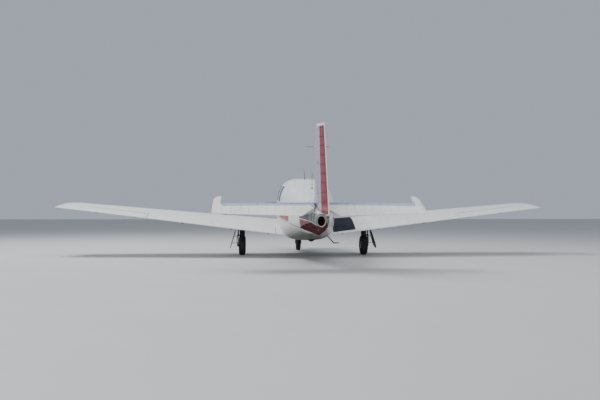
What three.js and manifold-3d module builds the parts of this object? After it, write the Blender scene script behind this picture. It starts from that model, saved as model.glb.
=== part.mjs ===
// Single-engine light aircraft with a low wing and retractable tricycle gear, parked on its wheels.
// Millimetres. The airframe's own frame: +X to starboard, +Y to the nose, +Z up, with its origin on
// the thrust line above the main axle. The airframe group then tilts it nose up and stands it on Z = 0.
import * as THREE from 'three';
import { mergeVertices } from 'three/addons/utils/BufferGeometryUtils.js';
import Module from 'manifold-3d';

const wasm = await Module();
wasm.setup();

// Driving dimensions.
const wingSpan = 11000;
const tailSpan = 3580;
const wheelTrack = 2780;
const wheelBase = 1820;
const thrustHeight = 1017;
const noseUp = THREE.MathUtils.degToRad(3.5);
const mainTyre = { radius: 222, width: 155, bead: 85, rimWidth: 120, sides: 24 };
const noseTyre = { radius: 180, width: 120, bead: 68, rimWidth: 92, sides: 24 };
const propellerRadius = 940;

// Thicknesses and gaps.
const seatGap = 0.3;
const doorGap = 7;
const cabinWall = 45;
const tailWall = 30;
const cowlSkin = 8;
const glass = { depth: 14, thickness: 5 };
const sheetMetal = 6;

// Places along the fuselage.
const firewallY = 1700;
const cabinBackY = -1700;
const tailConeEndY = -2980;
const fairingStartY = -3006;
const fairingEndY = -4080;
const cowlNoseY = 2800;
const floorTop = -450;

// Where the wheels stand, in the airframe's frame.
const mainAxle = { x: wheelTrack / 2, y: 0, z: (mainTyre.radius - thrustHeight) / Math.cos(noseUp) };
const noseAxle = {
  x: 0,
  y: wheelBase,
  z: (noseTyre.radius - thrustHeight - wheelBase * Math.sin(noseUp)) / Math.cos(noseUp),
};

// Colours of the paint and of the bare materials.
const finish = {
  white: { color: 0xe6e4df, roughness: 0.35, metalness: 0.0 },
  lavender: { color: 0xc9c6d6, roughness: 0.4, metalness: 0.0 },
  red: { color: 0x9b3b4a, roughness: 0.4, metalness: 0.0 },
  slate: { color: 0x5d7389, roughness: 0.45, metalness: 0.0 },
  steel: { color: 0x9b9da0, roughness: 0.4, metalness: 0.9 },
  dark: { color: 0x2b2b2e, roughness: 0.6, metalness: 0.2 },
  rubber: { color: 0x161617, roughness: 0.85, metalness: 0.0 },
  glass: { color: 0x6f93b5, roughness: 0.05, metalness: 0.0 },
  fabric: { color: 0x55606c, roughness: 0.95, metalness: 0.0 },
};

// Basic forms.

// A solid from a closed geometry, with its shared corners merged, its flat slivers dropped and its
// faces pointing outwards.
function solidOf(geometry) {
  const bare = new THREE.BufferGeometry();
  bare.setAttribute('position', geometry.getAttribute('position').clone());
  if (geometry.index) {
    bare.setIndex(geometry.index.clone());
  }
  const merged = mergeVertices(bare, 1e-3);
  const place = merged.getAttribute('position');
  const corners = merged.index.array;
  const kept = [];
  let volume = 0;
  for (let t = 0; t < corners.length; t += 3) {
    const [a, b, c] = [corners[t], corners[t + 1], corners[t + 2]];
    if (a !== b && b !== c && c !== a) {
      kept.push(a, b, c);
      const [p, q, r] = [a, b, c].map((i) => new THREE.Vector3().fromBufferAttribute(place, i));
      volume += p.dot(q.cross(r));
    }
  }
  if (volume < 0) {
    kept.reverse();
  }
  return new wasm.Manifold(new wasm.Mesh({
    numProp: 3,
    vertProperties: new Float32Array(merged.getAttribute('position').array),
    triVerts: new Uint32Array(kept),
  }));
}

// A geometry from a solid. Only the largest piece is kept, so that no loose chip is left by a cut.
function geometryOf(solid) {
  const pieces = solid.decompose().sort((a, b) => b.volume() - a.volume());
  const mesh = pieces[0].getMesh();
  const geometry = new THREE.BufferGeometry();
  geometry.setAttribute('position', new THREE.BufferAttribute(new Float32Array(mesh.vertProperties), 3));
  geometry.setIndex(new THREE.BufferAttribute(new Uint32Array(mesh.triVerts), 1));
  return geometry;
}

// A skin over a row of rings with equal counts of points, closed by a flat cap at each end. The
// diagonals on the port side mirror those to starboard, so that both sides of a body match.
function loft(rings) {
  const count = rings[0].length;
  const points = rings.flat();
  const triples = [];
  for (let r = 0; r + 1 < rings.length; r += 1) {
    for (let i = 0; i < count; i += 1) {
      const here = r * count + i;
      const next = r * count + (i + 1) % count;
      if (rings[r][i].x + rings[r][(i + 1) % count].x < 0) {
        triples.push(here, next, next + count);
        triples.push(here, next + count, here + count);
      } else {
        triples.push(here, next, here + count);
        triples.push(next, next + count, here + count);
      }
    }
  }
  const capOf = (ring, first, turned) => {
    const size = new THREE.Box3().setFromPoints(ring).getSize(new THREE.Vector3());
    const [u, v] = ['x', 'y', 'z'].sort((a, b) => size[b] - size[a]);
    const flat = ring.map((p) => new THREE.Vector2(p[u], p[v]));
    const forward = THREE.ShapeUtils.area(flat) > 0;
    const faces = THREE.ShapeUtils.triangulateShape(forward ? flat : [...flat].reverse(), []);
    for (const face of faces) {
      const ids = face.map((i) => first + (forward ? i : count - 1 - i));
      const alongRing = forward ? ids : [ids[2], ids[1], ids[0]];
      triples.push(...(turned ? alongRing : [alongRing[2], alongRing[1], alongRing[0]]));
    }
  };
  capOf(rings[0], 0, false);
  capOf(rings[rings.length - 1], (rings.length - 1) * count, true);
  const geometry = new THREE.BufferGeometry().setFromPoints(points);
  geometry.setIndex(triples);
  return geometry;
}

// A block between two corners.
function block(x0, x1, y0, y1, z0, z1) {
  const geometry = new THREE.BoxGeometry(x1 - x0, y1 - y0, z1 - z0);
  return solidOf(geometry.translate((x0 + x1) / 2, (y0 + y1) / 2, (z0 + z1) / 2));
}

// A prism with an outline of [y, z] pairs, from x0 to x1.
function sidePrism(outline, x0, x1) {
  const shape = new THREE.Shape(outline.map(([y, z]) => new THREE.Vector2(y, z)));
  const geometry = new THREE.ExtrudeGeometry(shape, { depth: x1 - x0, bevelEnabled: false });
  const turn = new THREE.Matrix4().makeBasis(
    new THREE.Vector3(0, 1, 0),
    new THREE.Vector3(0, 0, 1),
    new THREE.Vector3(1, 0, 0),
  );
  return geometry.applyMatrix4(turn).translate(x0, 0, 0);
}

// A prism with an outline of [x, y] pairs, from z0 to z1.
function planPrism(outline, z0, z1) {
  const shape = new THREE.Shape(outline.map(([x, y]) => new THREE.Vector2(x, y)));
  const geometry = new THREE.ExtrudeGeometry(shape, { depth: z1 - z0, bevelEnabled: false });
  return geometry.translate(0, 0, z0);
}

// An outline moved inwards by a gap, each side parallel to what it was.
function insetOutline(outline, gap) {
  const flat = outline.map(([a, b]) => new THREE.Vector2(a, b));
  const turn = THREE.ShapeUtils.area(flat) > 0 ? 1 : -1;
  return flat.map((corner, i) => {
    const before = corner.clone().sub(flat[(i + flat.length - 1) % flat.length]).normalize();
    const after = flat[(i + 1) % flat.length].clone().sub(corner).normalize();
    const bisector = new THREE.Vector2(-before.y - after.y, before.x + after.x).multiplyScalar(turn);
    const inwards = new THREE.Vector2(-before.y, before.x).multiplyScalar(turn);
    const move = bisector.multiplyScalar(gap / bisector.dot(inwards));
    return [corner.x + move.x, corner.y + move.y];
  });
}

// A straight round rod between two points.
function rod(from, to, radius, sides = 12, endRadius = radius) {
  const start = new THREE.Vector3(...from);
  const run = new THREE.Vector3(...to).sub(start);
  const geometry = new THREE.CylinderGeometry(endRadius, radius, run.length(), sides);
  geometry.translate(0, run.length() / 2, 0);
  const up = new THREE.Vector3(0, 1, 0);
  const turn = new THREE.Quaternion().setFromUnitVectors(up, run.clone().normalize());
  return geometry.applyQuaternion(turn).translate(start.x, start.y, start.z);
}

// The corner radius of a many-sided bore that clears a round rod by the seat gap.
function boreFor(radius, sides = 16) {
  return (radius + seatGap) / Math.cos(Math.PI / sides);
}

// A tube with a round section that follows a smooth path.
function bentTube(path, radius, sides, steps) {
  const section = new THREE.Shape();
  section.absarc(0, 0, radius, 0, 2 * Math.PI);
  const curve = new THREE.CatmullRomCurve3(path.map((p) => new THREE.Vector3(...p)));
  return new THREE.ExtrudeGeometry(section, {
    steps,
    curveSegments: sides / 2,
    extrudePath: curve,
  });
}

// Joining and cutting of solids and geometries alike.
const asSolid = (form) => (form.isBufferGeometry ? solidOf(form) : form);
const join = (...forms) => forms.map(asSolid).reduce((a, b) => a.add(b));
const cut = (form, ...tools) => tools.map(asSolid).reduce((a, b) => a.subtract(b), asSolid(form));
const common = (a, b) => asSolid(a).intersect(asSolid(b));

// The same geometry on the other side of the middle plane.
function mirrored(geometry) {
  const copy = geometry.clone().scale(-1, 1, 1);
  const corners = Array.from(geometry.index.array);
  copy.setIndex(corners.map((_, i) => corners[i - (i % 3) + (3 - (i % 3)) % 3]));
  return copy;
}

// Placing the meshes.

const airframe = new THREE.Group();
airframe.rotation.x = noseUp;
airframe.position.z = thrustHeight;

function addPiece(name, form, look, position = [0, 0, 0]) {
  const geometry = geometryOf(asSolid(form));
  const mesh = new THREE.Mesh(geometry, new THREE.MeshStandardMaterial(look));
  mesh.name = name;
  mesh.position.set(...position);
  airframe.add(mesh);
  return mesh;
}

// The starboard piece as it is made, and its mirror image to port.
function addPair(name, form, look, position = [0, 0, 0]) {
  const geometry = geometryOf(asSolid(form));
  const [x, y, z] = position;
  addPiece(`${name}_right`, geometry, look, position);
  addPiece(`${name}_left`, mirrored(geometry), look, [-x, y, z]);
}

// Fuselage sections, front to back. Columns: place along Y, half width, top, bottom, height of the
// widest line, roundness above it and below it (2 is an ellipse, more is squarer).
const fuselageSections = [
  [2800, 255, 125, -300, -60, 2.3, 2.4],
  [2760, 305, 150, -335, -60, 2.4, 2.6],
  [2600, 410, 172, -400, -70, 2.5, 2.7],
  [2200, 480, 215, -470, -80, 2.7, 2.9],
  [1700, 520, 270, -520, -90, 2.9, 3.1],
  [1350, 555, 302, -560, -90, 3.0, 3.3],
  [1000, 575, 510, -590, -60, 2.8, 3.4],
  [800, 583, 620, -600, -30, 2.8, 3.4],
  [600, 588, 692, -600, 0, 2.9, 3.4],
  [200, 590, 720, -600, 0, 3.0, 3.4],
  [-600, 582, 700, -600, 0, 3.0, 3.4],
  [-1200, 556, 622, -560, -30, 2.9, 3.2],
  [-1700, 500, 545, -450, 0, 2.8, 3.0],
  [-2400, 360, 440, -330, 30, 2.6, 2.8],
  [-2980, 245, 350, -235, 58, 2.4, 2.6],
  [-3400, 175, 300, -165, 70, 2.3, 2.4],
  [-3700, 130, 250, -115, 65, 2.2, 2.2],
  [-4080, 75, 140, -50, 45, 2, 2],
];
const ringPoints = 28;

function sectionAt(y) {
  const behind = fuselageSections.findIndex((row) => row[0] <= y);
  const last = behind < 0 ? fuselageSections.length - 1 : Math.max(behind, 1);
  const [a, b] = [fuselageSections[last - 1], fuselageSections[last]];
  const part = (a[0] - y) / (a[0] - b[0]);
  return a.map((value, i) => value + (b[i] - value) * part);
}

// Where the skin lies on the starboard side, at a place along Y and a height.
function skinX(y, z) {
  const [, halfWidth, top, bottom, middle, above, below] = sectionAt(y);
  const [reach, power] = z > middle ? [top - middle, above] : [middle - bottom, below];
  return halfWidth * (1 - Math.abs((z - middle) / reach) ** power) ** (1 / power);
}

function fuselageRing(y, inset) {
  const [, halfWidth, top, bottom, middle, above, below] = sectionAt(y);
  const ring = [];
  for (let i = 0; i < ringPoints; i += 1) {
    const angle = (2 * Math.PI * i) / ringPoints;
    const [across, up] = [Math.cos(angle), Math.sin(angle)];
    const upper = up >= 0;
    const power = 2 / (upper ? above : below);
    const reach = upper ? top - middle - inset : middle - bottom - inset;
    const x = Math.sign(across) * Math.abs(across) ** power * (halfWidth - inset);
    const z = middle + Math.sign(up) * Math.abs(up) ** power * reach;
    ring.push(new THREE.Vector3(x, y, z));
  }
  return ring;
}

// The fuselage's form between two places along Y, drawn in from the skin by an inset.
function fuselage(front, back, inset = 0) {
  const between = fuselageSections.map((row) => row[0]).filter((y) => y < front - 1 && y > back + 1);
  return solidOf(loft([front, ...between, back].map((y) => fuselageRing(y, inset))));
}

// Aerofoil sections.

// Places along the chord of an aerofoil's corners, closer together at the nose.
const foilSteps = [0, 0.012, 0.05, 0.12, 0.22, 0.36, 0.52, 0.68, 0.84, 1];
const trailingEdge = 0.004;

// Half thickness and camber of a section at a part of its chord, both as parts of the chord.
function foilAt(part, thickness, camber) {
  const bow = 0.2969 * Math.sqrt(part) - 0.126 * part - 0.3516 * part ** 2
    + 0.2843 * part ** 3 - 0.1036 * part ** 4;
  return { half: 5 * thickness * bow + trailingEdge * part, lift: 4 * camber * part * (1 - part) };
}

// The ring of a section as [along the chord, across it] pairs in millimetres: over the top from the
// nose to the tail, and back underneath.
function foilOutline(chord, thickness, camber) {
  const over = foilSteps.map((part) => {
    const { half, lift } = foilAt(part, thickness, camber);
    return [part * chord, (lift + half) * chord];
  });
  const under = foilSteps.slice(1).reverse().map((part) => {
    const { half, lift } = foilAt(part, thickness, camber);
    return [part * chord, (lift - half) * chord];
  });
  return [...over, ...under];
}

// Fuselage: the cabin shell with its doors and glass.

const cabinOuter = fuselage(firewallY, cabinBackY);
const fuselageAll = fuselage(cowlNoseY, cabinBackY, -seatGap);
const cabinHollow = common(
  fuselage(firewallY - cabinWall, cabinBackY + cabinWall, cabinWall),
  block(-1000, 1000, cabinBackY, firewallY, floorTop, 1000),
);

// Outlines seen from the side, as [y, z].
const doorOutline = [[800, -105], [800, 200], [520, 600], [-300, 600], [-300, -105]];
const doorReach = 1012;
const frontWindow = [[728, 215], [497, 545], [-140, 560], [-140, 215]];
const rearWindow = [[-320, 215], [-320, 560], [-800, 545], [-880, 215]];
const baggageHatch = { front: -985, back: -1405, top: 400, bottom: 20 };
const windscreenOutline = [[1500, 290], [975, 290], [594, 735], [594, 900], [1500, 900]];
const centrePost = 12;
const sideReach = 800;

// The bay that the nose wheel folds back into, and the tunnel for its leg.
const noseBay = { halfWidth: 100, front: 1345, back: 930, top: -290 };
const noseTunnel = { halfWidth: 100, front: 1790, back: 1335, top: -430 };
const bayWall = 30;

function bayBlock(bay, grow) {
  return block(
    -bay.halfWidth - grow,
    bay.halfWidth + grow,
    bay.back - grow,
    bay.front + grow,
    -800,
    bay.top + grow,
  );
}

const bayCover = common(
  join(bayBlock(noseBay, bayWall), bayBlock(noseTunnel, bayWall)),
  fuselage(firewallY, cabinBackY, cabinWall / 2),
);
const noseWell = join(bayBlock(noseBay, 0), bayBlock(noseTunnel, 0));

// Hinge lines, each as two points in the airframe's frame; a positive turn is right-handed about it.
const hinges = {};

// A local frame: X along a hinge line, Y towards the fixed part, Z across both.
function frameAt(origin, along, towardsFixed) {
  const x = new THREE.Vector3(...along).normalize();
  const z = new THREE.Vector3().crossVectors(x, new THREE.Vector3(...towardsFixed)).normalize();
  const y = new THREE.Vector3().crossVectors(z, x);
  return new THREE.Matrix4().makeBasis(x, y, z).setPosition(...origin);
}

const placed = (form, frame) => solidOf(solidGeometry(form).applyMatrix4(frame));

// The cabin door swings about an upright line ahead of it; its aft edge is round about that line.
const knuckle = { radius: 6, length: 40, leaf: 16, depth: 18, sides: 8 };
const knuckleOut = knuckle.radius + 4;
const cabinHingeY = 800 - doorGap / 2;
const cabinHingeX = skinX(cabinHingeY, 0) + knuckleOut;
const cabinDoorSpace = (gap) => common(
  sidePrism(insetOutline(doorOutline, gap), 0, sideReach),
  rod([cabinHingeX, cabinHingeY, -300], [cabinHingeX, cabinHingeY, 800], doorReach - gap, 96),
);

// The baggage door lifts about a line along its top; its ends are square to that line.
const baggageHingeZ = baggageHatch.top - doorGap / 2;
const baggageHingeAt = (y) => [skinX(y, baggageHingeZ) + knuckleOut, y, baggageHingeZ];
const baggageLine = [baggageHingeAt(-1330), baggageHingeAt(-1060)];
const baggageRun = baggageLine[1].map((value, i) => value - baggageLine[0][i]);
const baggageMiddle = baggageHingeAt((baggageHatch.front + baggageHatch.back) / 2);
const baggageSpace = (gap) => {
  const half = (baggageHatch.front - baggageHatch.back) / 2 - gap;
  const foot = baggageHatch.bottom - baggageHingeZ + gap;
  const form = block(-half, half, foot, doorGap / 2 - gap, -200, 60);
  return placed(form, frameAt(baggageMiddle, baggageRun, [0, 0, 1]));
};

const windscreenCut = sidePrism(windscreenOutline, centrePost, sideReach);
const cabinSolid = cut(
  cut(cabinOuter, cabinHollow).add(bayCover),
  noseWell,
  sidePrism(frontWindow, -sideReach, 0),
  sidePrism(rearWindow, -sideReach, sideReach),
  windscreenCut,
  mirrored(solidGeometry(windscreenCut)),
  cabinDoorSpace(0),
  baggageSpace(0),
);

// A prism's geometry with an index, as mirroring needs.
function solidGeometry(form) {
  return geometryOf(asSolid(form));
}

// A curved pane that fills an opening, set in from the skin.
function pane(outline, from, to, depth = glass.depth) {
  const sheet = cut(
    fuselage(firewallY, cabinBackY, depth),
    fuselage(firewallY + 1, cabinBackY - 1, depth + glass.thickness),
  );
  return common(sheet, sidePrism(insetOutline(outline, seatGap), from, to));
}

// A door hinge: one knuckle on each side of the gap, end to end, each with a leaf into its panel.
function doorHinge(frame) {
  const { radius, length, leaf, depth, sides } = knuckle;
  const end = seatGap / 2;
  const moving = join(
    rod([-length, 0, 0], [-end, 0, 0], radius, sides),
    block(-length, -end, -leaf, 0, -depth, 0),
  );
  const fixed = join(
    rod([end, 0, 0], [length, 0, 0], radius, sides),
    block(end, length, 0, leaf, -depth, 0),
  );
  return { moving: placed(moving, frame), fixed: placed(fixed, frame) };
}

hinges.cabin_door = [[cabinHingeX, cabinHingeY, -105], [cabinHingeX, cabinHingeY, 200]];
const cabinHinges = [-40, 150].map((z) => doorHinge(
  frameAt([cabinHingeX, cabinHingeY, z], [0, 0, -1], [0, 1, 0]),
));

hinges.baggage_door = baggageLine;
const baggageHinges = baggageLine.map((at) => doorHinge(frameAt(at, baggageRun, [0, 0, 1])));

const cabinSkin = cut(cabinOuter, fuselage(firewallY + 1, cabinBackY - 1, cabinWall));

addPiece('cabin_shell', join(
  cabinSolid,
  ...cabinHinges.map((hinge) => hinge.fixed),
  ...baggageHinges.map((hinge) => hinge.fixed),
), finish.white);
addPiece('cabin_door', join(
  cut(common(cabinSkin, cabinDoorSpace(doorGap)), sidePrism(frontWindow, 0, sideReach)),
  ...cabinHinges.map((hinge) => hinge.moving),
), finish.white);
addPiece('baggage_door', join(
  common(cabinSkin, baggageSpace(doorGap)),
  ...baggageHinges.map((hinge) => hinge.moving),
), finish.white);

const doorWindow = geometryOf(pane(frontWindow, 0, sideReach));
addPiece('door_window', doorWindow, finish.glass);
addPiece('window_front_left', mirrored(doorWindow), finish.glass);
addPair('window_rear', pane(rearWindow, 0, sideReach), finish.glass);
addPair('windscreen', pane(windscreenOutline, centrePost + seatGap, sideReach, 2), finish.glass);

// Inside the cabin.

const panelY = 900;
const panelSkin = fuselage(firewallY - cabinWall - 1, cabinBackY, cabinWall + seatGap);
const panelBoard = common(panelSkin, join(
  block(-600, 600, panelY, panelY + 25, -150, 232),
  block(-600, 600, panelY, 1330, 212, 232),
));
const yoke = { x: 250, z: 40, reach: 150, halfWidth: 125, grip: 70, bar: 16 };

function yokeAt(x) {
  const gripY = panelY - yoke.reach;
  const grips = [-1, 1].map((side) => rod(
    [x + side * yoke.halfWidth, gripY, yoke.z - yoke.bar],
    [x + side * yoke.halfWidth, gripY, yoke.z + yoke.grip],
    yoke.bar,
    8,
  ));
  return join(
    rod([x, gripY, yoke.z], [x, panelY + 5, yoke.z], 12),
    block(x - yoke.halfWidth, x + yoke.halfWidth, gripY - 8, gripY + 8, yoke.z - yoke.bar, yoke.z + yoke.bar),
    ...grips,
  );
}

addPiece('instrument_panel', join(panelBoard, yokeAt(-yoke.x), yokeAt(yoke.x)), finish.dark);

// Seat outlines seen from the side, as [y, z]: a cushion with a back that leans aft.
const frontSeat = [[560, -255], [585, -170], [550, -130], [160, -150], [40, 400], [0, 435], [-70, 420],
  [-75, 370], [40, -140], [90, -255]];
const rearSeat = [[-345, floorTop + seatGap], [-345, -160], [-380, -130], [-740, -150], [-850, 330],
  [-890, 360], [-955, 350], [-960, 300], [-840, -160], [-840, floorTop + seatGap]];
const seatFrameTop = frontSeat[0][1] - seatGap;
const seatRoom = fuselage(firewallY, cabinBackY, cabinWall + 8);
addPair('seat_front', common(sidePrism(frontSeat, 65, 515), seatRoom), finish.fabric);
addPair('seat_frame', cut(
  block(110, 430, 130, 520, floorTop + seatGap, seatFrameTop),
  block(135, 405, 100, 550, floorTop - 1, seatFrameTop - 30),
  block(100, 480, 170, 480, floorTop - 1, seatFrameTop - 30),
), finish.steel);
addPiece('seat_rear', common(sidePrism(rearSeat, -500, 500), seatRoom), finish.fabric);

// Tail cone, closed at its aft end by the frame that carries the tail unit's two pivot lugs.

const tailPivot = { y: -3050, z: 70, pin: 10, lugX: 80, lugWidth: 14, lugHalf: 32 };
const tailFrame = 25;
hinges.tail_trim = [[-100, tailPivot.y, tailPivot.z], [100, tailPivot.y, tailPivot.z]];
const pivotLugs = [-1, 1].map((side) => {
  const x = side * tailPivot.lugX;
  const half = tailPivot.lugWidth / 2;
  const arm = block(
    x - half,
    x + half,
    tailPivot.y,
    tailConeEndY + tailFrame / 2,
    tailPivot.z - tailPivot.lugHalf,
    tailPivot.z + tailPivot.lugHalf,
  );
  const eye = rod(
    [x - half, tailPivot.y, tailPivot.z],
    [x + half, tailPivot.y, tailPivot.z],
    tailPivot.lugHalf,
    16,
  );
  return join(arm, eye);
});
addPiece('tail_cone', cut(
  join(
    cut(
      fuselage(cabinBackY - seatGap, tailConeEndY),
      fuselage(cabinBackY + 1, tailConeEndY + tailFrame, tailWall),
    ),
    ...pivotLugs,
  ),
  rod([-150, tailPivot.y, tailPivot.z], [150, tailPivot.y, tailPivot.z], boreFor(tailPivot.pin), 16),
), finish.white);

// Engine, cowl, propeller and exhaust.

const engine = { halfWidth: 300, front: 2560, back: 1830, top: 90, bottom: -300 };
const backplate = { front: 2845, back: 2837, radius: 166 };
const mountTubes = [[-240, 50], [240, 50], [-240, -250], [240, -250]].map(([x, z]) => rod(
  [x, firewallY + seatGap, z],
  [x, engine.back + 5, z],
  14,
));
addPiece('engine_block', join(
  block(-engine.halfWidth, engine.halfWidth, engine.back, engine.front, engine.bottom, engine.top),
  rod([0, engine.front - 5, 0], [0, backplate.back - seatGap, 0], 45, 16),
  ...mountTubes,
), finish.dark);

const cowlShell = cut(
  fuselage(cowlNoseY, firewallY + seatGap),
  fuselage(cowlNoseY - 20, firewallY - 1, cowlSkin),
  rod([0, 2700, 0], [0, 2900, 0], 75, 24),
);
const inlet = { inner: 105, outer: 215, bottom: -95, top: 45 };
const inletCuts = [-1, 1].map((side) => block(
  Math.min(side * inlet.inner, side * inlet.outer),
  Math.max(side * inlet.inner, side * inlet.outer),
  2740,
  2900,
  inlet.bottom,
  inlet.top,
));
const legNotch = block(-100, 100, firewallY - 10, 1990, -800, -330);
const pipeX = 145;
const pipeHole = rod([pipeX, 1900, -330], [pipeX, 1900, -700], 42, 16);

// The cowl flaps are cut from the lower cowl's skin and hinge at their front edge.
const cowlFlap = { inner: 205, outer: 345, front: 1905, back: 1708, gap: 10 };
const cowlFlapCut = block(cowlFlap.inner, cowlFlap.outer, firewallY - 10, cowlFlap.front, -800, -250);
const cowlParts = cut(cowlShell, ...inletCuts, legNotch, pipeHole, cowlFlapCut,
  mirrored(geometryOf(cowlFlapCut)));
addPiece('cowl_upper', common(cowlParts, block(-800, 800, 1000, 3000, seatGap, 800)), finish.white);
addPiece('cowl_lower', common(cowlParts, block(-800, 800, 1000, 3000, -800, 0)), finish.white);

const flapHingeY = cowlFlap.front - cowlFlap.gap - 3;
const skinZ = (x, y) => {
  const [, halfWidth, , bottom, middle, , below] = sectionAt(y);
  return middle + (bottom - middle) * (1 - (x / halfWidth) ** below) ** (1 / below);
};
const cowlHinge = [cowlFlap.inner, cowlFlap.outer].map((x) => [x, flapHingeY, skinZ(x, flapHingeY) + cowlSkin / 2]);
hinges.cowl_flap_right = cowlHinge;
const cowlPinInset = 1 / (cowlFlap.outer - cowlFlap.inner);
const cowlHingePin = rod(
  cowlHinge[0].map((value, i) => value + (cowlHinge[1][i] - value) * cowlPinInset),
  cowlHinge[1].map((value, i) => value + (cowlHinge[0][i] - value) * cowlPinInset),
  3,
  8,
);
const cowlFlapPanel = common(
  cowlShell,
  block(
    cowlFlap.inner + cowlFlap.gap,
    cowlFlap.outer - cowlFlap.gap,
    cowlFlap.back,
    cowlFlap.front - cowlFlap.gap,
    -800,
    -250,
  ),
);
addPair('cowl_flap', join(cowlFlapPanel, cowlHingePin), finish.white);

addPiece('exhaust_pipe', bentTube([
  [pipeX, 1900, engine.bottom - seatGap],
  [pipeX, 1900, -470],
  [pipeX, 1880, -560],
  [pipeX, 1790, -615],
  [pipeX, 1690, -640],
], 28, 8, 9), finish.steel);

// Propeller blades, from the shank to the tip. Columns: distance from the hub, chord, thickness,
// pitch in degrees.
const bladeSections = [
  [70, 76, 60, 60],
  [170, 92, 46, 48],
  [300, 132, 30, 36],
  [520, 148, 20, 25],
  [760, 128, 12, 19],
  [900, 96, 7, 16],
  [propellerRadius, 46, 4, 15],
];
const hubY = 2895;
const bladeSides = 8;

function bladeRing([reach, chord, thickness, pitch], side) {
  const turn = THREE.MathUtils.degToRad(pitch) * side;
  return Array.from({ length: bladeSides }, (_, i) => {
    const angle = (2 * Math.PI * i) / bladeSides;
    const across = (chord / 2) * Math.cos(angle);
    const deep = (thickness / 2) * Math.sin(angle);
    const y = hubY + across * Math.sin(turn) + deep * Math.cos(turn);
    const z = across * Math.cos(turn) - deep * Math.sin(turn);
    return new THREE.Vector3(side * reach, y, z);
  });
}

const blades = [-1, 1].map((side) => loft(bladeSections.map((row) => bladeRing(row, side))));
hinges.propeller = [[0, backplate.back, 0], [0, hubY, 0]];
addPiece('propeller', join(
  ...blades,
  rod([-80, hubY, 0], [80, hubY, 0], 52, 16),
  rod([0, backplate.back, 0], [0, hubY, 0], 60, 16),
  rod([0, backplate.back, 0], [0, backplate.front, 0], backplate.radius, 24),
), finish.dark);

// The spinner is a shell with a hole for each blade's shank.
const spinnerOutside = [[168, 0], [160, 90], [124, 200], [70, 275], [0, 309]];
const spinnerWall = 5;
const spinnerInside = spinnerOutside.map(([r, y]) => [Math.max(r - spinnerWall, 0), y - (r < 100 ? spinnerWall : 0)]);
const spinnerProfile = [...spinnerOutside, ...spinnerInside.reverse()].map(([r, y]) => new THREE.Vector2(r, y));
const spinnerShell = new THREE.LatheGeometry([...spinnerProfile, spinnerProfile[0]], 24)
  .translate(0, backplate.front + seatGap, 0);
addPiece('spinner', cut(
  spinnerShell,
  rod([-200, hubY, 0], [200, hubY, 0], 62, 20),
), finish.white);

// Wings. A straight nose line, a tail line that sweeps forward, and a rounded tip.

const wing = {
  noseY: 790,
  rootChord: 1930,
  tipChord: 1020,
  rootZ: -434,
  dihedral: THREE.MathUtils.degToRad(5.5),
  rootThickness: 0.15,
  tipThickness: 0.12,
  rootTwist: THREE.MathUtils.degToRad(2.5),
  tipTwist: THREE.MathUtils.degToRad(1),
  camber: 0.03,
};
const halfSpan = wingSpan / 2;
const blend = (a, b, part) => a + (b - a) * part;
const wingChord = (x) => blend(wing.rootChord, wing.tipChord, x / halfSpan);
const wingTailY = (x) => wing.noseY - wingChord(x);

// Wing sections, root to tip. Columns: place along the span, how far the nose is drawn back, how far
// the tail is drawn forward, thickness as a part of the section's own.
const wingSections = [
  [420, 0, 0, 1],
  [5080, 0, 0, 1],
  [5280, 25, 0, 0.9],
  [5420, 95, 12, 0.68],
  [halfSpan, 260, 60, 0.25],
];

// A point of the wing at a place along the span, a part of the chord, and above or below the
// chord line: 1 is the upper skin, -1 the lower one.
function wingPoint(x, part, surface = 0) {
  const chord = wingChord(x);
  const twist = blend(wing.rootTwist, wing.tipTwist, x / halfSpan);
  const { half, lift } = foilAt(part, blend(wing.rootThickness, wing.tipThickness, x / halfSpan), wing.camber);
  const up = surface === 0 ? 0 : (lift + surface * half) * chord;
  const y = wing.noseY - part * chord * Math.cos(twist) + up * Math.sin(twist);
  const z = wing.rootZ + x * Math.tan(wing.dihedral) - part * chord * Math.sin(twist) + up * Math.cos(twist);
  return [x, y, z];
}

function wingRing([x, noseBack, tailForward, thin]) {
  const chord = wingChord(x) - noseBack - tailForward;
  const twist = blend(wing.rootTwist, wing.tipTwist, x / halfSpan);
  const thickness = blend(wing.rootThickness, wing.tipThickness, x / halfSpan) * thin;
  const [, , baseZ] = wingPoint(x, 0);
  return foilOutline(chord, thickness, wing.camber * thin).map(([along, up]) => new THREE.Vector3(
    x,
    wing.noseY - (noseBack + along) * Math.cos(twist) + up * Math.sin(twist),
    baseZ - (noseBack + along) * Math.sin(twist) + up * Math.cos(twist),
  ));
}

const wholeWing = cut(loft(wingSections.map(wingRing)), fuselageAll);

// Wells in the underside: a square one for the wheel and a slot for the leg.
const wheelWell = { x: 945, half: 240, top: -266 };
const legSlot = { halfDepth: 75, outer: mainAxle.x + 45, top: -300 };
const wells = join(
  block(
    wheelWell.x - wheelWell.half,
    wheelWell.x + wheelWell.half,
    -wheelWell.half,
    wheelWell.half,
    -800,
    wheelWell.top,
  ),
  block(wheelWell.x, legSlot.outer, -legSlot.halfDepth, legSlot.halfDepth, -800, legSlot.top),
);

// The flap lies behind a straight cut; its hinge line runs below the lower skin.
const flap = { inner: 650, outer: 3450, depth: 360, axis: 330, below: 30, innerGap: 10, outerGap: 20, noseGap: 8 };
const flapOutline = (innerGap, outerGap, noseGap) => [
  [flap.inner + innerGap, wingTailY(flap.inner) + flap.depth - noseGap],
  [flap.inner + innerGap, -2000],
  [flap.outer - outerGap, -2000],
  [flap.outer - outerGap, wingTailY(flap.outer) + flap.depth - noseGap],
];
const belowSkin = (x, tailDistance, drop) => {
  const [, y, z] = wingPoint(x, 1 - tailDistance / wingChord(x), -1);
  return [x, y, z - drop];
};
const flapLine = [flap.inner, flap.outer].map((x) => belowSkin(x, flap.axis, flap.below));
hinges.flap_right = flapLine;

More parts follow.
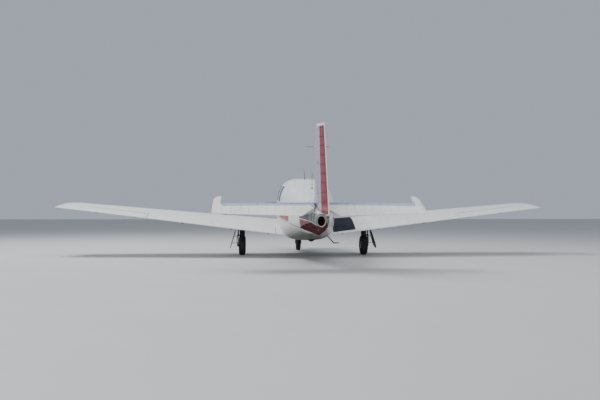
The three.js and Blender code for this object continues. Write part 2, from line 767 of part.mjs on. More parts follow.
// The aileron's nose is round about its hinge line, just below the lower skin.
const aileron = { inner: 3500, outer: 4950, axis: 285, below: 17, gap: 8 };
const aileronLine = [aileron.inner, aileron.outer].map((x) => belowSkin(x, aileron.axis, aileron.below));
hinges.aileron_right = aileronLine;

// A region behind a hinge line, together with a round nose about the line.
function behindLine([from, to], noseRadius, height, overhang = 0) {
  const start = new THREE.Vector3(...from);
  const run = new THREE.Vector3(...to).sub(start);
  const frame = frameAt(from, run.toArray(), [0, 1, 0]);
  const length = run.length();
  const body = join(
    rod([-overhang, 0, 0], [length + overhang, 0, 0], noseRadius, 16),
    block(-overhang, length + overhang, -1500, 0, -height, height),
  );
  return placed(body, frame);
}

const skinDepth = (x, tailDistance) => {
  const upper = wingPoint(x, 1 - tailDistance / wingChord(x), 1);
  const lower = wingPoint(x, 1 - tailDistance / wingChord(x), -1);
  return upper[2] - lower[2];
};
const aileronNose = skinDepth(aileron.inner, aileron.axis) + aileron.below;
const aileronRegion = (gap) => common(
  behindLine(aileronLine, aileronNose + gap, 400, 300),
  block(aileron.inner - gap, aileron.outer + gap, -2000, 1000, -1000, 1000),
);

// Brackets below the skin, as [forward, up] from the hinge line: a fixed arm on the wing and a lug
// on what moves.
const bracketWidth = 8;
const bracketPin = 5;
const pinSides = 8;
const flapArm = [[-12, -7], [-7, -13], [60, -10], [150, 18], [150, 60], [34, 60], [34, 15], [0, 13], [-12, 7]];
const flapLug = [[-140, 18], [-20, -12], [0, -13], [12, -7], [12, 48], [-140, 40]];
const armReach = aileronNose + aileron.gap + 4;
const aileronArm = [[-12, -7], [-7, -13], [armReach, -34], [armReach + 80, 4], [armReach + 80, 40],
  [armReach, 40], [armReach - 2, -12], [armReach - 28, -12], [14, 2], [0, 8], [-12, 4]];
const aileronLug = [[-45, 24], [-12, -7], [0, -12], [12, -7], [30, 24]];

function bracketPair(line, part, arm, lug) {
  const at = line[0].map((value, i) => blend(value, line[1][i], part));
  const frame = frameAt(at, line[1].map((value, i) => value - line[0][i]), [0, 1, 0]);
  const half = bracketWidth / 2;
  const lugSide = half + 0.6;
  const bore = rod([-half - 1, 0, 0], [half + 1, 0, 0], boreFor(bracketPin, pinSides), pinSides);
  return {
    fixed: placed(cut(sidePrism(arm, -half, half), bore), frame),
    moving: placed(join(
      sidePrism(lug, lugSide, lugSide + bracketWidth),
      rod([-half - 2, 0, 0], [lugSide + 2, 0, 0], bracketPin, pinSides),
    ), frame),
  };
}

const partOf = (x, span) => (x - span.inner) / (span.outer - span.inner);
const flapBrackets = [800, 1610, 2690].map((x) => bracketPair(flapLine, partOf(x, flap), flapArm, flapLug));
const aileronBrackets = [3780, 4620].map(
  (x) => bracketPair(aileronLine, partOf(x, aileron), aileronArm, aileronLug),
);

// Where the wing is jacked and tied down: a level pad under the spar.
const jackPad = { x: 2400, half: 22, drop: 14 };
const jackZ = wingPoint(jackPad.x, 0.4, -1)[2];
const jackY = wingPoint(jackPad.x, 0.4, -1)[1];
const jackBlock = block(
  jackPad.x - jackPad.half,
  jackPad.x + jackPad.half,
  jackY - jackPad.half,
  jackY + jackPad.half,
  jackZ - jackPad.drop,
  jackZ + 20,
);

// The wing's skins are spliced beside the leg's slot: the root piece holds the wells.
const spliceX = 1480;
const wingBody = join(
  cut(
    wholeWing,
    wells,
    planPrism(flapOutline(0, 0, 0), -1000, 500),
    aileronRegion(aileron.gap),
  ),
  ...flapBrackets.map((bracket) => bracket.fixed),
  ...aileronBrackets.map((bracket) => bracket.fixed),
  jackBlock,
);
addPair('wing_root', common(wingBody, block(0, spliceX, -2000, 1000, -1000, 500)), finish.white);
addPair('wing', common(wingBody, block(spliceX + seatGap, 6000, -2000, 1000, -1000, 1000)), finish.white);
addPair('flap', join(
  common(wholeWing, planPrism(flapOutline(flap.innerGap, flap.outerGap, flap.noseGap), -1000, 500)),
  ...flapBrackets.map((bracket) => bracket.moving),
), finish.white);
addPair('aileron', join(
  common(wholeWing, aileronRegion(0)),
  ...aileronBrackets.map((bracket) => bracket.moving),
), finish.white);

// Wheels and tyres. Profiles as [across, radius], turned about the axle.

const wheelPhase = Math.PI / mainTyre.sides - noseUp;

function turned(profile, sides) {
  const points = profile.map(([across, radius]) => new THREE.Vector2(radius, across));
  const geometry = new THREE.LatheGeometry([...points, points[0]], sides);
  return geometry.rotateZ(-Math.PI / 2).rotateX(wheelPhase);
}

// The tread's flats, not its corners, lie at the tyre's radius.
function tyreForm(tyre) {
  const outer = tyre.radius / Math.cos(Math.PI / tyre.sides);
  const half = tyre.width / 2;
  const bead = tyre.rimWidth / 2 - 6;
  const rise = outer - tyre.bead;
  const side = [[bead, 0], [bead, 0.14], [half, 0.42], [half, 0.62], [half * 0.82, 0.9], [half * 0.45, 1]];
  const right = side.map(([across, part]) => [across, tyre.bead + rise * part]);
  const left = right.map(([across, radius]) => [-across, radius]).reverse();
  return turned([...right, ...left], tyre.sides);
}

function wheelForm(tyre, axleRadius, hubHalf) {
  const half = tyre.rimWidth / 2;
  const seat = tyre.bead - seatGap / Math.cos(Math.PI / tyre.sides);
  const bore = boreFor(axleRadius, tyre.sides);
  const right = [[hubHalf, bore], [hubHalf, bore + 16], [12, bore + 20], [12, seat - 14], [half, seat - 10],
    [half, seat]];
  const left = right.map(([across, radius]) => [-across, radius]).reverse();
  return turned([...right, ...left], tyre.sides);
}

const mainAxleRadius = 18;
const noseAxleRadius = 12;
const mainPlace = [mainAxle.x, mainAxle.y, mainAxle.z];
const nosePlace = [noseAxle.x, noseAxle.y, noseAxle.z];
addPair('main_tyre', tyreForm(mainTyre), finish.rubber, mainPlace);
addPair('main_wheel', wheelForm(mainTyre, mainAxleRadius, 52), finish.steel, mainPlace);
addPiece('nose_tyre', tyreForm(noseTyre), finish.rubber, nosePlace);
addPiece('nose_wheel', wheelForm(noseTyre, noseAxleRadius, 46), finish.steel, nosePlace);
hinges.main_wheel_right = [mainPlace, [mainAxle.x + 100, mainAxle.y, mainAxle.z]];
hinges.nose_wheel = [nosePlace, [100, noseAxle.y, noseAxle.z]];

// Main legs. Each hangs from a trunnion in the wing's slot, bears on a stack of rubber discs above the
// wheel, and reaches down outboard of the wheel to its axle.

const legX = mainAxle.x;
const legParts = {
  trunnionZ: -345,
  upperPlate: -408,
  stackTop: -418,
  stackBottom: -553,
  lowerPlate: -562,
  armInner: legX + 86,
  armOuter: legX + 108,
};
const armOutline = [[-48, -545], [48, -545], [44, -620], [32, -770], [34, -800], [18, -828], [-18, -828],
  [-34, -800], [-32, -770], [-44, -620]];
addPair('main_leg', join(
  rod(
    [legX, -legSlot.halfDepth + seatGap, legParts.trunnionZ],
    [legX, legSlot.halfDepth - seatGap, legParts.trunnionZ],
    22,
    10,
  ),
  rod([legX, 0, legParts.upperPlate - 5], [legX, 0, legParts.trunnionZ], 30, 12),
  rod([legX, 0, legParts.stackTop], [legX, 0, legParts.upperPlate], 66, 16),
  rod([legX, 0, legParts.lowerPlate], [legX, 0, legParts.upperPlate], 12, 8),
  rod([legX, 0, legParts.lowerPlate], [legX, 0, legParts.stackBottom], 66, 16),
  block(legX, legParts.armOuter, -48, 48, legParts.lowerPlate, legParts.stackBottom),
  sidePrism(armOutline, legParts.armInner, legParts.armOuter),
  rod([legX - 56, 0, mainAxle.z], [legParts.armOuter, 0, mainAxle.z], mainAxleRadius, 12),
  rod([legX + 52 + seatGap, 0, mainAxle.z], [legParts.armInner + 2, 0, mainAxle.z], 32, 12),
), finish.dark);

// The stack of discs, as [radius, height] from its foot: four discs with grooves between them.
const discCount = 4;
const stackHeight = legParts.stackTop - legParts.stackBottom - 2 * seatGap;
const discHeight = stackHeight / discCount;
const discRadius = 62;
const discBore = boreFor(12, 12);
const discProfile = [[discBore, 0]];
for (let i = 0; i < discCount; i += 1) {
  const foot = i * discHeight;
  discProfile.push([discRadius, foot + 2], [discRadius, foot + discHeight - 6]);
  if (i < discCount - 1) {
    discProfile.push([discRadius - 10, foot + discHeight - 4], [discRadius - 10, foot + discHeight]);
  }
}
discProfile[1][1] = 0;
discProfile[discProfile.length - 1][1] = stackHeight;
discProfile.push([discBore, stackHeight], [discBore, 0]);
const discs = new THREE.LatheGeometry(discProfile.map(([r, z]) => new THREE.Vector2(r, z)), 12)
  .rotateX(Math.PI / 2);
addPair('shock_discs', discs, finish.rubber, [legX, 0, legParts.stackBottom + seatGap]);

// The doors of the main legs hang beside them, splayed outwards, on two links.
const gearDoor = { topX: 1543, topZ: -457, bottomX: 1662, bottomZ: -857 };
const gearDoorSlope = (gearDoor.bottomX - gearDoor.topX) / (gearDoor.topZ - gearDoor.bottomZ);
const gearDoorOutline = [[-110, 0], [110, 0], [150, -130], [185, -300], [150, -395], [60, -417],
  [-60, -417], [-150, -395], [-185, -300], [-150, -130]];
const gearDoorFrame = new THREE.Matrix4().makeBasis(
  new THREE.Vector3(1, 0, gearDoorSlope).normalize(),
  new THREE.Vector3(0, 1, 0),
  new THREE.Vector3(-gearDoorSlope, 0, 1).normalize(),
).setPosition(gearDoor.topX, 0, gearDoor.topZ);
const gearDoorLinks = [-590, -745].map((z) => rod(
  [legParts.armOuter + seatGap, 0, z],
  [gearDoor.topX + (gearDoor.topZ - z) * gearDoorSlope + sheetMetal / 2, 0, z],
  8,
));
addPair('main_gear_door', join(
  placed(sidePrism(gearDoorOutline, 0, sheetMetal), gearDoorFrame),
  ...gearDoorLinks,
), finish.white);

// Nose leg. A collar on the firewall holds the leg, which turns in it to steer.

const steering = { y: noseAxle.y + 30, collarTop: -380, collarBottom: -500, tube: 28, headTop: -364 };
hinges.nose_fork = [[0, steering.y, -900], [0, steering.y, steering.collarTop]];
addPiece('nose_leg_support', cut(
  join(
    rod([0, steering.y, steering.collarBottom], [0, steering.y, steering.collarTop], 46, 20),
    block(-50, 50, firewallY + seatGap, steering.y, steering.collarTop - 48, steering.collarTop),
  ),
  rod([0, steering.y, steering.collarBottom - 9], [0, steering.y, 0], boreFor(steering.tube, 20), 20),
), finish.steel);

const fork = { inner: 68, outer: 80, crownTop: -735, crownBottom: -753 };
const forkOutline = [[1795, fork.crownTop], [1880, fork.crownTop], [1872, -810], [1844, -945], [1833, -966],
  [1807, -966], [1796, -945]];
addPiece('nose_fork', join(
  rod([0, steering.y, fork.crownBottom], [0, steering.y, steering.headTop], steering.tube, 20),
  rod([0, steering.y, steering.collarTop + seatGap], [0, steering.y, steering.headTop], 42, 20),
  block(-fork.outer, fork.outer, 1795, 1880, fork.crownBottom, fork.crownTop),
  sidePrism(forkOutline, fork.inner, fork.outer),
  sidePrism(forkOutline, -fork.outer, -fork.inner),
  rod([-fork.outer, noseAxle.y, noseAxle.z], [fork.outer, noseAxle.y, noseAxle.z], noseAxleRadius, 16),
  rod([46 + seatGap, noseAxle.y, noseAxle.z], [fork.inner + 1, noseAxle.y, noseAxle.z], 19, 16),
  rod([-fork.inner - 1, noseAxle.y, noseAxle.z], [-46 - seatGap, noseAxle.y, noseAxle.z], 19, 16),
), finish.dark);

const noseDoorOutline = [[1640, -400], [1640, -640], [1560, -735], [1000, -735], [950, -660], [950, -400]];
addPair('nose_gear_door', cut(
  sidePrism(noseDoorOutline, noseBay.halfWidth + 8, noseBay.halfWidth + 8 + sheetMetal),
  fuselageAll,
), finish.white);

// Tail unit. The fairing pivots on the tail cone's lugs for trim and carries the fin and stabilisers.

const fairingWall = 14;
const fairingGrown = fuselage(fairingStartY + 2, fairingEndY - 2, -seatGap);
const tailTie = { y: -3560, half: 16, drop: 26 };
const tailTieTop = sectionAt(tailTie.y)[3] + fairingWall / 2;
addPiece('tail_fairing', join(
  cut(
    fuselage(fairingStartY, fairingEndY),
    fuselage(fairingStartY + 1, fairingEndY - 1, fairingWall),
  ),
  common(
    rod([-400, tailPivot.y, tailPivot.z], [400, tailPivot.y, tailPivot.z], tailPivot.pin, 12),
    fuselage(fairingStartY, fairingEndY, fairingWall / 2),
  ),
  block(
    -tailTie.half,
    tailTie.half,
    tailTie.y - tailTie.half,
    tailTie.y + tailTie.half,
    tailTieTop - tailTie.drop,
    tailTieTop,
  ),
), finish.lavender);

function rotatedAbout(form, [from, to], degrees) {
  const axis = new THREE.Vector3(...to).sub(new THREE.Vector3(...from)).normalize();
  const turn = new THREE.Matrix4().makeRotationAxis(axis, THREE.MathUtils.degToRad(degrees));
  const back = new THREE.Matrix4().makeTranslation(...from.map((value) => -value));
  const there = new THREE.Matrix4().makeTranslation(...from);
  return placed(form, there.multiply(turn).multiply(back));
}

// A hinge inside a control surface: a lug on the fixed part reaches into a slot, onto a pin.
const slotLug = { half: 4, eye: 10, pin: 4, slotHalf: 10, slotBack: 18 };

function slotHinge(line, part, noseRadius) {
  const at = line[0].map((value, i) => blend(value, line[1][i], part));
  const frame = frameAt(at, line[1].map((value, i) => value - line[0][i]), [0, 1, 0]);
  const { half, eye, pin, slotHalf, slotBack } = slotLug;
  const reach = noseRadius + 36;
  const bore = rod([-half - 1, 0, 0], [half + 1, 0, 0], boreFor(pin, pinSides), pinSides);
  const lug = cut(join(
    rod([-half, 0, 0], [half, 0, 0], eye, pinSides),
    block(-half, half, 0, reach, -eye + 1, eye - 1),
  ), bore);
  return {
    lug: placed(lug, frame),
    slot: placed(block(-slotHalf, slotHalf, -slotBack, noseRadius + 2, -200, 200), frame),
    pin: placed(rod([-slotHalf - 7, 0, 0], [slotHalf + 7, 0, 0], pin, pinSides), frame),
  };
}

const rudderGap = 8;
const elevatorGap = 11;

// Fin and rudder sections, bottom to top. Columns: height, place of the nose, place of the tail,
// thickness.
const finSections = [
  [100, -3048, -4345, 100],
  [1640, -3079, -3812, 56],
  [1676, -3100, -3806, 40],
];
const finSolid = loft(finSections.map(([z, noseY, tailY, thickness]) => {
  const chord = noseY - tailY;
  return foilOutline(chord, thickness / chord, 0).map(([along, up]) => new THREE.Vector3(up, noseY - along, z));
}));
const rudderLine = [[0, -3880, 150], [0, -3500, 1680]];
const rudderNose = 34;
const rudderRest = 13.5;
const rudderFoot = [[-3600, 290], [-4080, 178], [-4600, 150], [-4600, -200], [-3600, -200]];
const rudderHinges = [0.22, 0.56, 0.92].map((part) => slotHinge(rudderLine, part, rudderNose));
hinges.rudder = rudderLine;

// Stabiliser and elevator sections, root to tip. Columns: place across, place of the nose, place of
// the tail, thickness.
const stabZ = 281;
const stabSections = [
  [56, -3083, -4102, 88],
  [1680, -3267, -3987, 60],
  [1750, -3300, -3982, 46],
  [tailSpan / 2, -3375, -3962, 18],
];
const stabSolid = loft(stabSections.map(([x, noseY, tailY, thickness]) => {
  const chord = noseY - tailY;
  return foilOutline(chord, thickness / chord, 0).map(
    ([along, up]) => new THREE.Vector3(x, noseY - along, stabZ + up),
  );
}));
const elevatorLine = [[0, -3660, stabZ], [tailSpan / 2, -3660, stabZ]];
const elevatorNose = 33;
const elevatorDroop = 21;
const hornInner = 1663;
const elevatorInner = [[-9, -3400], [92, -3400], [92, -3700], [345, -4110], [345, -4400], [-9, -4400]];
const elevatorHinges = [0.26, 0.58, 0.88].map((part) => slotHinge(elevatorLine, part, elevatorNose));
hinges.elevator_right = elevatorLine;
const torqueTube = 14;
const tubeHole = rod([-200, -3660, stabZ], [200, -3660, stabZ], torqueTube + 6, 16);

const navAerial = { y: -3260, z: 1295, reach: 205, radius: 4 };
const aerialFrom = [-navAerial.reach, navAerial.y, navAerial.z];
const aerialTo = [navAerial.reach, navAerial.y, navAerial.z];
addPiece('fin', cut(
  join(
    cut(finSolid, behindLine(rudderLine, rudderNose + rudderGap, 300, 200)),
    ...rudderHinges.map((hinge) => hinge.lug),
  ),
  fairingGrown,
  tubeHole,
  rod(aerialFrom, aerialTo, boreFor(navAerial.radius, 12), 12),
), finish.lavender);
addPiece('nav_aerial', rod(aerialFrom, aerialTo, navAerial.radius, 8), finish.steel);
const neutralRudder = cut(
  common(finSolid, behindLine(rudderLine, rudderNose, 300, 200)),
  sidePrism(rudderFoot, -500, 500),
  ...rudderHinges.map((hinge) => hinge.slot),
);
addPiece('rudder', rotatedAbout(
  join(neutralRudder, ...rudderHinges.map((hinge) => hinge.pin)),
  rudderLine,
  rudderRest,
), finish.red);

const finGrown = block(-50, 50, -4200, -3000, 0, 600);
addPair('stabilizer', join(
  cut(
    stabSolid,
    fairingGrown,
    finGrown,
    behindLine(elevatorLine, elevatorNose + elevatorGap, 300, 200),
    block(hornInner - elevatorGap, 2000, -4400, -3000, 0, 600),
  ),
  ...elevatorHinges.map((hinge) => hinge.lug),
), finish.slate);
const elevatorRegion = join(
  behindLine(elevatorLine, elevatorNose, 300, 200),
  block(hornInner, 2000, -4400, -3000, 0, 600),
);
const neutralElevator = join(
  cut(
    common(stabSolid, elevatorRegion),
    planPrism(elevatorInner, 0, 600),
    ...elevatorHinges.map((hinge) => hinge.slot),
  ),
  ...elevatorHinges.map((hinge) => hinge.pin),
  rod([seatGap / 2, -3660, stabZ], [180, -3660, stabZ], torqueTube, 16),
);
addPair('elevator', rotatedAbout(neutralElevator, elevatorLine, elevatorDroop), finish.white);

// Small outside pieces.

addPiece('boarding_step', cut(
  join(
    rod([330, -1400, -380], [530, -1400, -598], 12, 12),
    block(515, 640, -1445, -1355, -606, -594),
  ),
  fuselageAll,
), finish.dark);
const aerialFoot = (x, y, tip) => cut(
  join(
    rod([x, y, sectionAt(y)[2] + 6], tip, 4, 8),
    rod([x, y, 400], [x, y, sectionAt(y)[2] + 14], 22, 12),
  ),
  fuselage(0, -2400, -seatGap),
);
addPiece('roof_aerial', aerialFoot(0, -350, [-22, -400, 950]), finish.dark);
addPiece('tail_cone_aerial', aerialFoot(40, -1790, [34, -1850, 850]), finish.dark);
const bellyDome = new THREE.SphereGeometry(1, 16, 8).scale(70, 120, 62).translate(70, -1290, -522);
addPiece('belly_dome', cut(bellyDome, fuselageAll), finish.dark);

// The whole model stands on Z = 0, with the middle of its length at Y = 0.
const model = new THREE.Group();
model.name = 'light_aircraft';
model.add(airframe);
const bounds = new THREE.Box3().setFromObject(model, true);
airframe.position.y = -(bounds.min.y + bounds.max.y) / 2;
model.updateMatrixWorld(true);
const inModel = (point) => airframe.localToWorld(new THREE.Vector3(...point)).toArray();
model.userData.hinges = Object.fromEntries(
  Object.entries(hinges).map(([name, points]) => [name, points.map(inModel)]),
);
model.userData.mounts = {
  jack_pad_right: inModel([jackPad.x, jackY, jackZ - jackPad.drop]),
  tail_tie_down: inModel([0, tailTie.y, tailTieTop - tailTie.drop]),
  tow_point_right: inModel([fork.outer, noseAxle.y, noseAxle.z]),
};

export default model;
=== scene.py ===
"""The looks of a single-engine light aircraft on its gear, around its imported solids.

Sizes are metres in the airframe's own frame: X to starboard, Y to the nose, Z up, with the origin on the
thrust line above the main axle. stand() tilts that frame nose up and puts it on the ground.
"""

import math

import bpy
import numpy as np
from mathutils import Matrix, Vector


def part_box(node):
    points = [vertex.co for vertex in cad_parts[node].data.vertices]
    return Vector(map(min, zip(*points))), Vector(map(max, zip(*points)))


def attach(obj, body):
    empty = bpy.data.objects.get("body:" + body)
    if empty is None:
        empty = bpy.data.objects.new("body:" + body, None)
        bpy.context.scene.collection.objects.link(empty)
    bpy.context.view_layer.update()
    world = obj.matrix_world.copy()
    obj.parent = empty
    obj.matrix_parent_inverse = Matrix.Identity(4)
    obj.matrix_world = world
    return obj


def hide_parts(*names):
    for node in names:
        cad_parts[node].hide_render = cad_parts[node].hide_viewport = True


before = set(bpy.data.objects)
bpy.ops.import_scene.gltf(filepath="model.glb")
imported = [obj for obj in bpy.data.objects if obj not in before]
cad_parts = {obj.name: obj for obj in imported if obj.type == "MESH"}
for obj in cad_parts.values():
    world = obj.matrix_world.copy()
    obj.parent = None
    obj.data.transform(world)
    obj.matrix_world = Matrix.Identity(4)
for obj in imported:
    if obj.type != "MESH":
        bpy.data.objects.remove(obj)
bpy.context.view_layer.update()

# The airframe's frame on the ground.

nose_up = math.radians(3.5)
tilt_cos, tilt_sin = math.cos(nose_up), math.sin(nose_up)
thrust_height = 1.017
main_axle_z = (0.222 - thrust_height) / tilt_cos
wheel_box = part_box("main_wheel_right")
forward_shift = (wheel_box[0].y + wheel_box[1].y) / 2 + main_axle_z * tilt_sin


def stand(points):
    """Airframe points turned nose up about X by the parked angle, then lifted and moved forward."""
    x, y, z = np.moveaxis(np.asarray(points, float), -1, 0)
    forward = y * tilt_cos - z * tilt_sin + forward_shift
    up = y * tilt_sin + z * tilt_cos + thrust_height
    return np.stack([x, forward, up], -1)


# Camera, floor and light.

focal_pixels = 619.0
frame_width = 600
camera_place = (-1.018, forward_shift - main_axle_z * tilt_sin - 14.16, 0.93)
camera_yaw = math.radians(3.81)
camera_pitch = math.radians(1.3)


def set_camera():
    """A camera behind the aircraft and a little to port, at the height of the wings."""
    data = bpy.data.cameras.new("camera")
    data.sensor_width = 36
    data.lens = focal_pixels / frame_width * data.sensor_width
    data.clip_end = 200
    camera = bpy.data.objects.new("camera", data)
    bpy.context.scene.collection.objects.link(camera)
    camera.location = camera_place
    camera.rotation_euler = (math.pi / 2 + camera_pitch, 0, -camera_yaw)
    bpy.context.scene.camera = camera


set_camera()


# Shapes worked out as arrays.

origin, starboard, ahead, aft, upwards = (0, 0, 0), (1, 0, 0), (0, 1, 0), (0, -1, 0), (0, 0, 1)
seat_gap = 0.0003
sides_of = (("left", -1), ("right", 1))


class Shape:
    """Points and faces of closed surfaces. faces holds one array for each count of corners."""

    def __init__(self, points, faces):
        self.points = np.asarray(points, float).reshape(-1, 3)
        self.faces = [np.asarray(f, int) for f in faces if len(f)]

    def __add__(self, other):
        others = [f + len(self.points) for f in other.faces]
        return Shape(np.concatenate([self.points, other.points]), self.faces + others)

    def moved(self, x=0.0, y=0.0, z=0.0):
        """The same surface carried along by a step."""
        return Shape(self.points + np.array([x, y, z]), self.faces)

    def turned(self, matrix):
        """The same surface under a 4x4 matrix."""
        m = np.array(matrix, float)
        return Shape(self.points @ m[:3, :3].T + m[:3, 3], self.faces)

    def mirrored(self):
        """The surface on the other side of the middle plane, its faces still pointing outwards."""
        return Shape(self.points * np.array([-1, 1, 1]), [f[:, ::-1] for f in self.faces])

    def volume(self):
        """Six times the enclosed volume: the sum over fans of a face of a . (b x c)."""
        total = 0.0
        for f in self.faces:
            a = self.points[f[:, 0]]
            for k in range(1, f.shape[1] - 1):
                total += np.einsum("ij,ij->", a, np.cross(self.points[f[:, k]], self.points[f[:, k + 1]]))
        return total

    def outward(self):
        """The surface with its faces turned round if they point inwards."""
        return self if self.volume() > 0 else Shape(self.points, [f[:, ::-1] for f in self.faces])


def together(forms):
    """Shapes side by side as one, in their order, with nothing cut or joined."""
    total, *others = forms
    for form in others:
        total = total + form
    return total


def full_turn(count):
    """Angles evenly round a circle."""
    return np.linspace(0, 2 * np.pi, count, endpoint=False)


def grid_faces(rows, columns, wrap_rows=False):
    """Quads between neighbouring rows and columns of points. Columns wrap round, and rows where asked."""
    i = np.arange(rows if wrap_rows else rows - 1)[:, None]
    j = np.arange(columns)[None, :]
    i_next, j_next = (i + 1) % rows, (j + 1) % columns
    corners = [i * columns + j, i * columns + j_next, i_next * columns + j_next, i_next * columns + j]
    return np.stack(corners, -1).reshape(-1, 4)


def loft(points):
    """Closed rings, one for each row of points[row, place, xyz], joined by quads and capped by flat ends."""
    rows, columns = points.shape[:2]
    first = np.arange(columns)[None, ::-1]
    last = np.arange(columns)[None, :] + (rows - 1) * columns
    return Shape(points, [grid_faces(rows, columns), np.concatenate([first, last])]).outward()


def ring_of(points):
    """A surface closed both ways, such as a ring with a round section."""
    return Shape(points, [grid_faces(*points.shape[:2], True)]).outward()


def box(x, y, z):
    """A block between three pairs of limits."""
    return prism(rectangle(*x, *y), *z, "xy")


def rectangle(a0, a1, b0, b1, corner=0):
    """An upright rectangle's outline between two pairs of limits, with round corners where asked."""
    outline = [[a0, b0], [a1, b0], [a1, b1], [a0, b1]]
    return rounded(outline, corner) if corner else outline


def arc(radius, start, end, count):
    """Points on a circle about the middle, from one angle to another."""
    angle = np.linspace(start, end, count)
    return np.stack([radius * np.cos(angle), radius * np.sin(angle)], -1)


def prism(outline, start, end, plane="yz"):
    """A flat outline in the named plane, carried along the third axis from start to end."""
    flat = np.asarray(outline, float)
    third = {"yz": 0, "xz": 1, "xy": 2}[plane]
    return loft(np.stack([np.insert(flat, third, place, axis=1) for place in (start, end)]))


def lathe(profile, start, direction, sides=48, closed=False):
    """A profile of (radius, along) pairs turned about a line. A closed profile is joined end to start."""
    profile = np.asarray(profile, float)
    angle = full_turn(sides)
    d, u, v = basis(direction)
    radial = np.cos(angle)[:, None] * u + np.sin(angle)[:, None] * v
    points = np.asarray(start, float) + profile[None, :, 1:] * d + profile[None, :, :1] * radial[:, None]
    if closed:
        return ring_of(points)
    return loft(np.swapaxes(points, 0, 1))


def basis(direction):
    """A unit vector along a direction, and two across it."""
    d = np.asarray(direction, float) / np.linalg.norm(direction)
    helper = np.array([0, 0, 1.0]) if abs(d[2]) < 0.9 else np.array([1.0, 0, 0])
    u = np.cross(helper, d)
    u /= np.linalg.norm(u)
    return d, u, np.cross(d, u)


def rod(start, end, radius, sides=24):
    """A round bar between two points."""
    run = np.asarray(end, float) - np.asarray(start, float)
    return lathe([(radius, 0), (radius, np.linalg.norm(run))], start, run, sides)


def tube(path, radius, sides=12):
    """Circles across a path of points. Each turns the last one's frame by the least that fits the path."""
    path = np.asarray(path, float)
    along = np.gradient(path, axis=0)
    along /= np.linalg.norm(along, axis=1)[:, None]
    across = [basis(along[0])[1]]
    for step in along[1:]:
        side = across[-1] - step * (across[-1] @ step)
        across.append(side / np.linalg.norm(side))
    across = np.array(across)
    third = np.cross(along, across)
    angle = full_turn(sides)
    radii = np.broadcast_to(np.asarray(radius, float), len(path))[:, None, None]
    rim = np.cos(angle)[None, :, None] * across[:, None] + np.sin(angle)[None, :, None] * third[:, None]
    return loft(path[:, None] + radii * rim)


def curve(points, count):
    """A smooth path through a few points: a cubic through each four neighbours, evenly sampled."""
    p = np.asarray(points, float)
    p = np.concatenate([[2 * p[0] - p[1]], p, [2 * p[-1] - p[-2]]])
    t = np.linspace(0, len(points) - 1, count)
    i = np.minimum(t.astype(int), len(points) - 2)
    f = (t - i)[:, None]
    a, b, c, d = p[i], p[i + 1], p[i + 2], p[i + 3]
    return 0.5 * (2 * b + (c - a) * f + (2 * a - 5 * b + 4 * c - d) * f**2 + (3 * b - a - 3 * c + d) * f**3)


def rounded(outline, radius, steps=5):
    """An outline whose corners are arcs: each corner is a quadratic curve between points set back from it."""
    p = np.asarray(outline, float)
    before, after = np.roll(p, 1, 0) - p, np.roll(p, -1, 0) - p
    reach_before = np.linalg.norm(before, axis=1)[:, None]
    reach_after = np.linalg.norm(after, axis=1)[:, None]
    start = p + before / reach_before * np.minimum(radius, reach_before * 0.45)
    end = p + after / reach_after * np.minimum(radius, reach_after * 0.45)
    t = np.linspace(0, 1, steps)[None, :, None]
    return ((1 - t) ** 2 * start[:, None] + 2 * t * (1 - t) * p[:, None] + t**2 * end[:, None]).reshape(-1, 2)


def inset(outline, gap):
    """An outline drawn in by a gap, each side parallel to what it was."""
    p = np.asarray(outline, float)
    turn = np.sign(np.sum(p[:, 0] * np.roll(p[:, 1], -1) - p[:, 1] * np.roll(p[:, 0], -1)))
    before = p - np.roll(p, 1, 0)
    after = np.roll(p, -1, 0) - p
    before /= np.linalg.norm(before, axis=1)[:, None]
    after /= np.linalg.norm(after, axis=1)[:, None]
    inward = np.stack([-before[:, 1], before[:, 0]], -1) * turn
    bisector = np.stack([-before[:, 1] - after[:, 1], before[:, 0] + after[:, 0]], -1) * turn
    return p + bisector * (gap / np.sum(bisector * inward, axis=1))[:, None]


def mesh_of(shape, name="form"):
    """A mesh with the points of a shape."""
    mesh = bpy.data.meshes.new(name)
    mesh.from_pydata(shape.points.tolist(), [], [face for f in shape.faces for face in f.tolist()])
    return mesh


def numbers(items, field, width=3, kind=float):
    """A field of every item of a mesh, such as its vertices' places, as rows of a width."""
    values = np.zeros(len(items) * width, kind)
    items.foreach_get(field, values)
    return values.reshape(-1, width) if width > 1 else values


def shape_of(mesh):
    """The points and faces of a mesh, its faces grouped by their count of corners."""
    points = numbers(mesh.vertices, "co")
    corners = numbers(mesh.loops, "vertex_index", 1, int)
    start = numbers(mesh.polygons, "loop_start", 1, int)
    total = numbers(mesh.polygons, "loop_total", 1, int)
    faces = [corners[start[total == k][:, None] + np.arange(k)] for k in np.unique(total)]
    return Shape(points, faces)


workbench = bpy.data.collections.new("workbench")
bpy.context.scene.collection.children.link(workbench)


def on_bench(shape):
    """A shape as an object that only serves to work out another one."""
    thing = bpy.data.objects.new("form", mesh_of(shape))
    workbench.objects.link(thing)
    return thing


def worked(shape, operation, tools):
    """A shape after each tool is taken from it, kept common with it or joined to it, in turn."""
    things = [on_bench(s) for s in (shape, *tools)]
    for tool in things[1:]:
        step = things[0].modifiers.new("step", "BOOLEAN")
        step.operation = operation
        step.object = tool
        step.solver = "MANIFOLD"
    seen = things[0].evaluated_get(bpy.context.evaluated_depsgraph_get())
    mesh = bpy.data.meshes.new_from_object(seen)
    result = shape_of(mesh)
    bpy.data.meshes.remove(mesh)
    for thing in things:
        bpy.data.meshes.remove(thing.data)
    return result


def cut(shape, *tools):
    """What is left of a shape outside the tools."""
    return worked(shape, "DIFFERENCE", tools)


def common(shape, *tools):
    """What of a shape lies in every tool."""
    return worked(shape, "INTERSECT", tools)


def join(shape, *others):
    """One surface round all the shapes."""
    return worked(shape, "UNION", others)


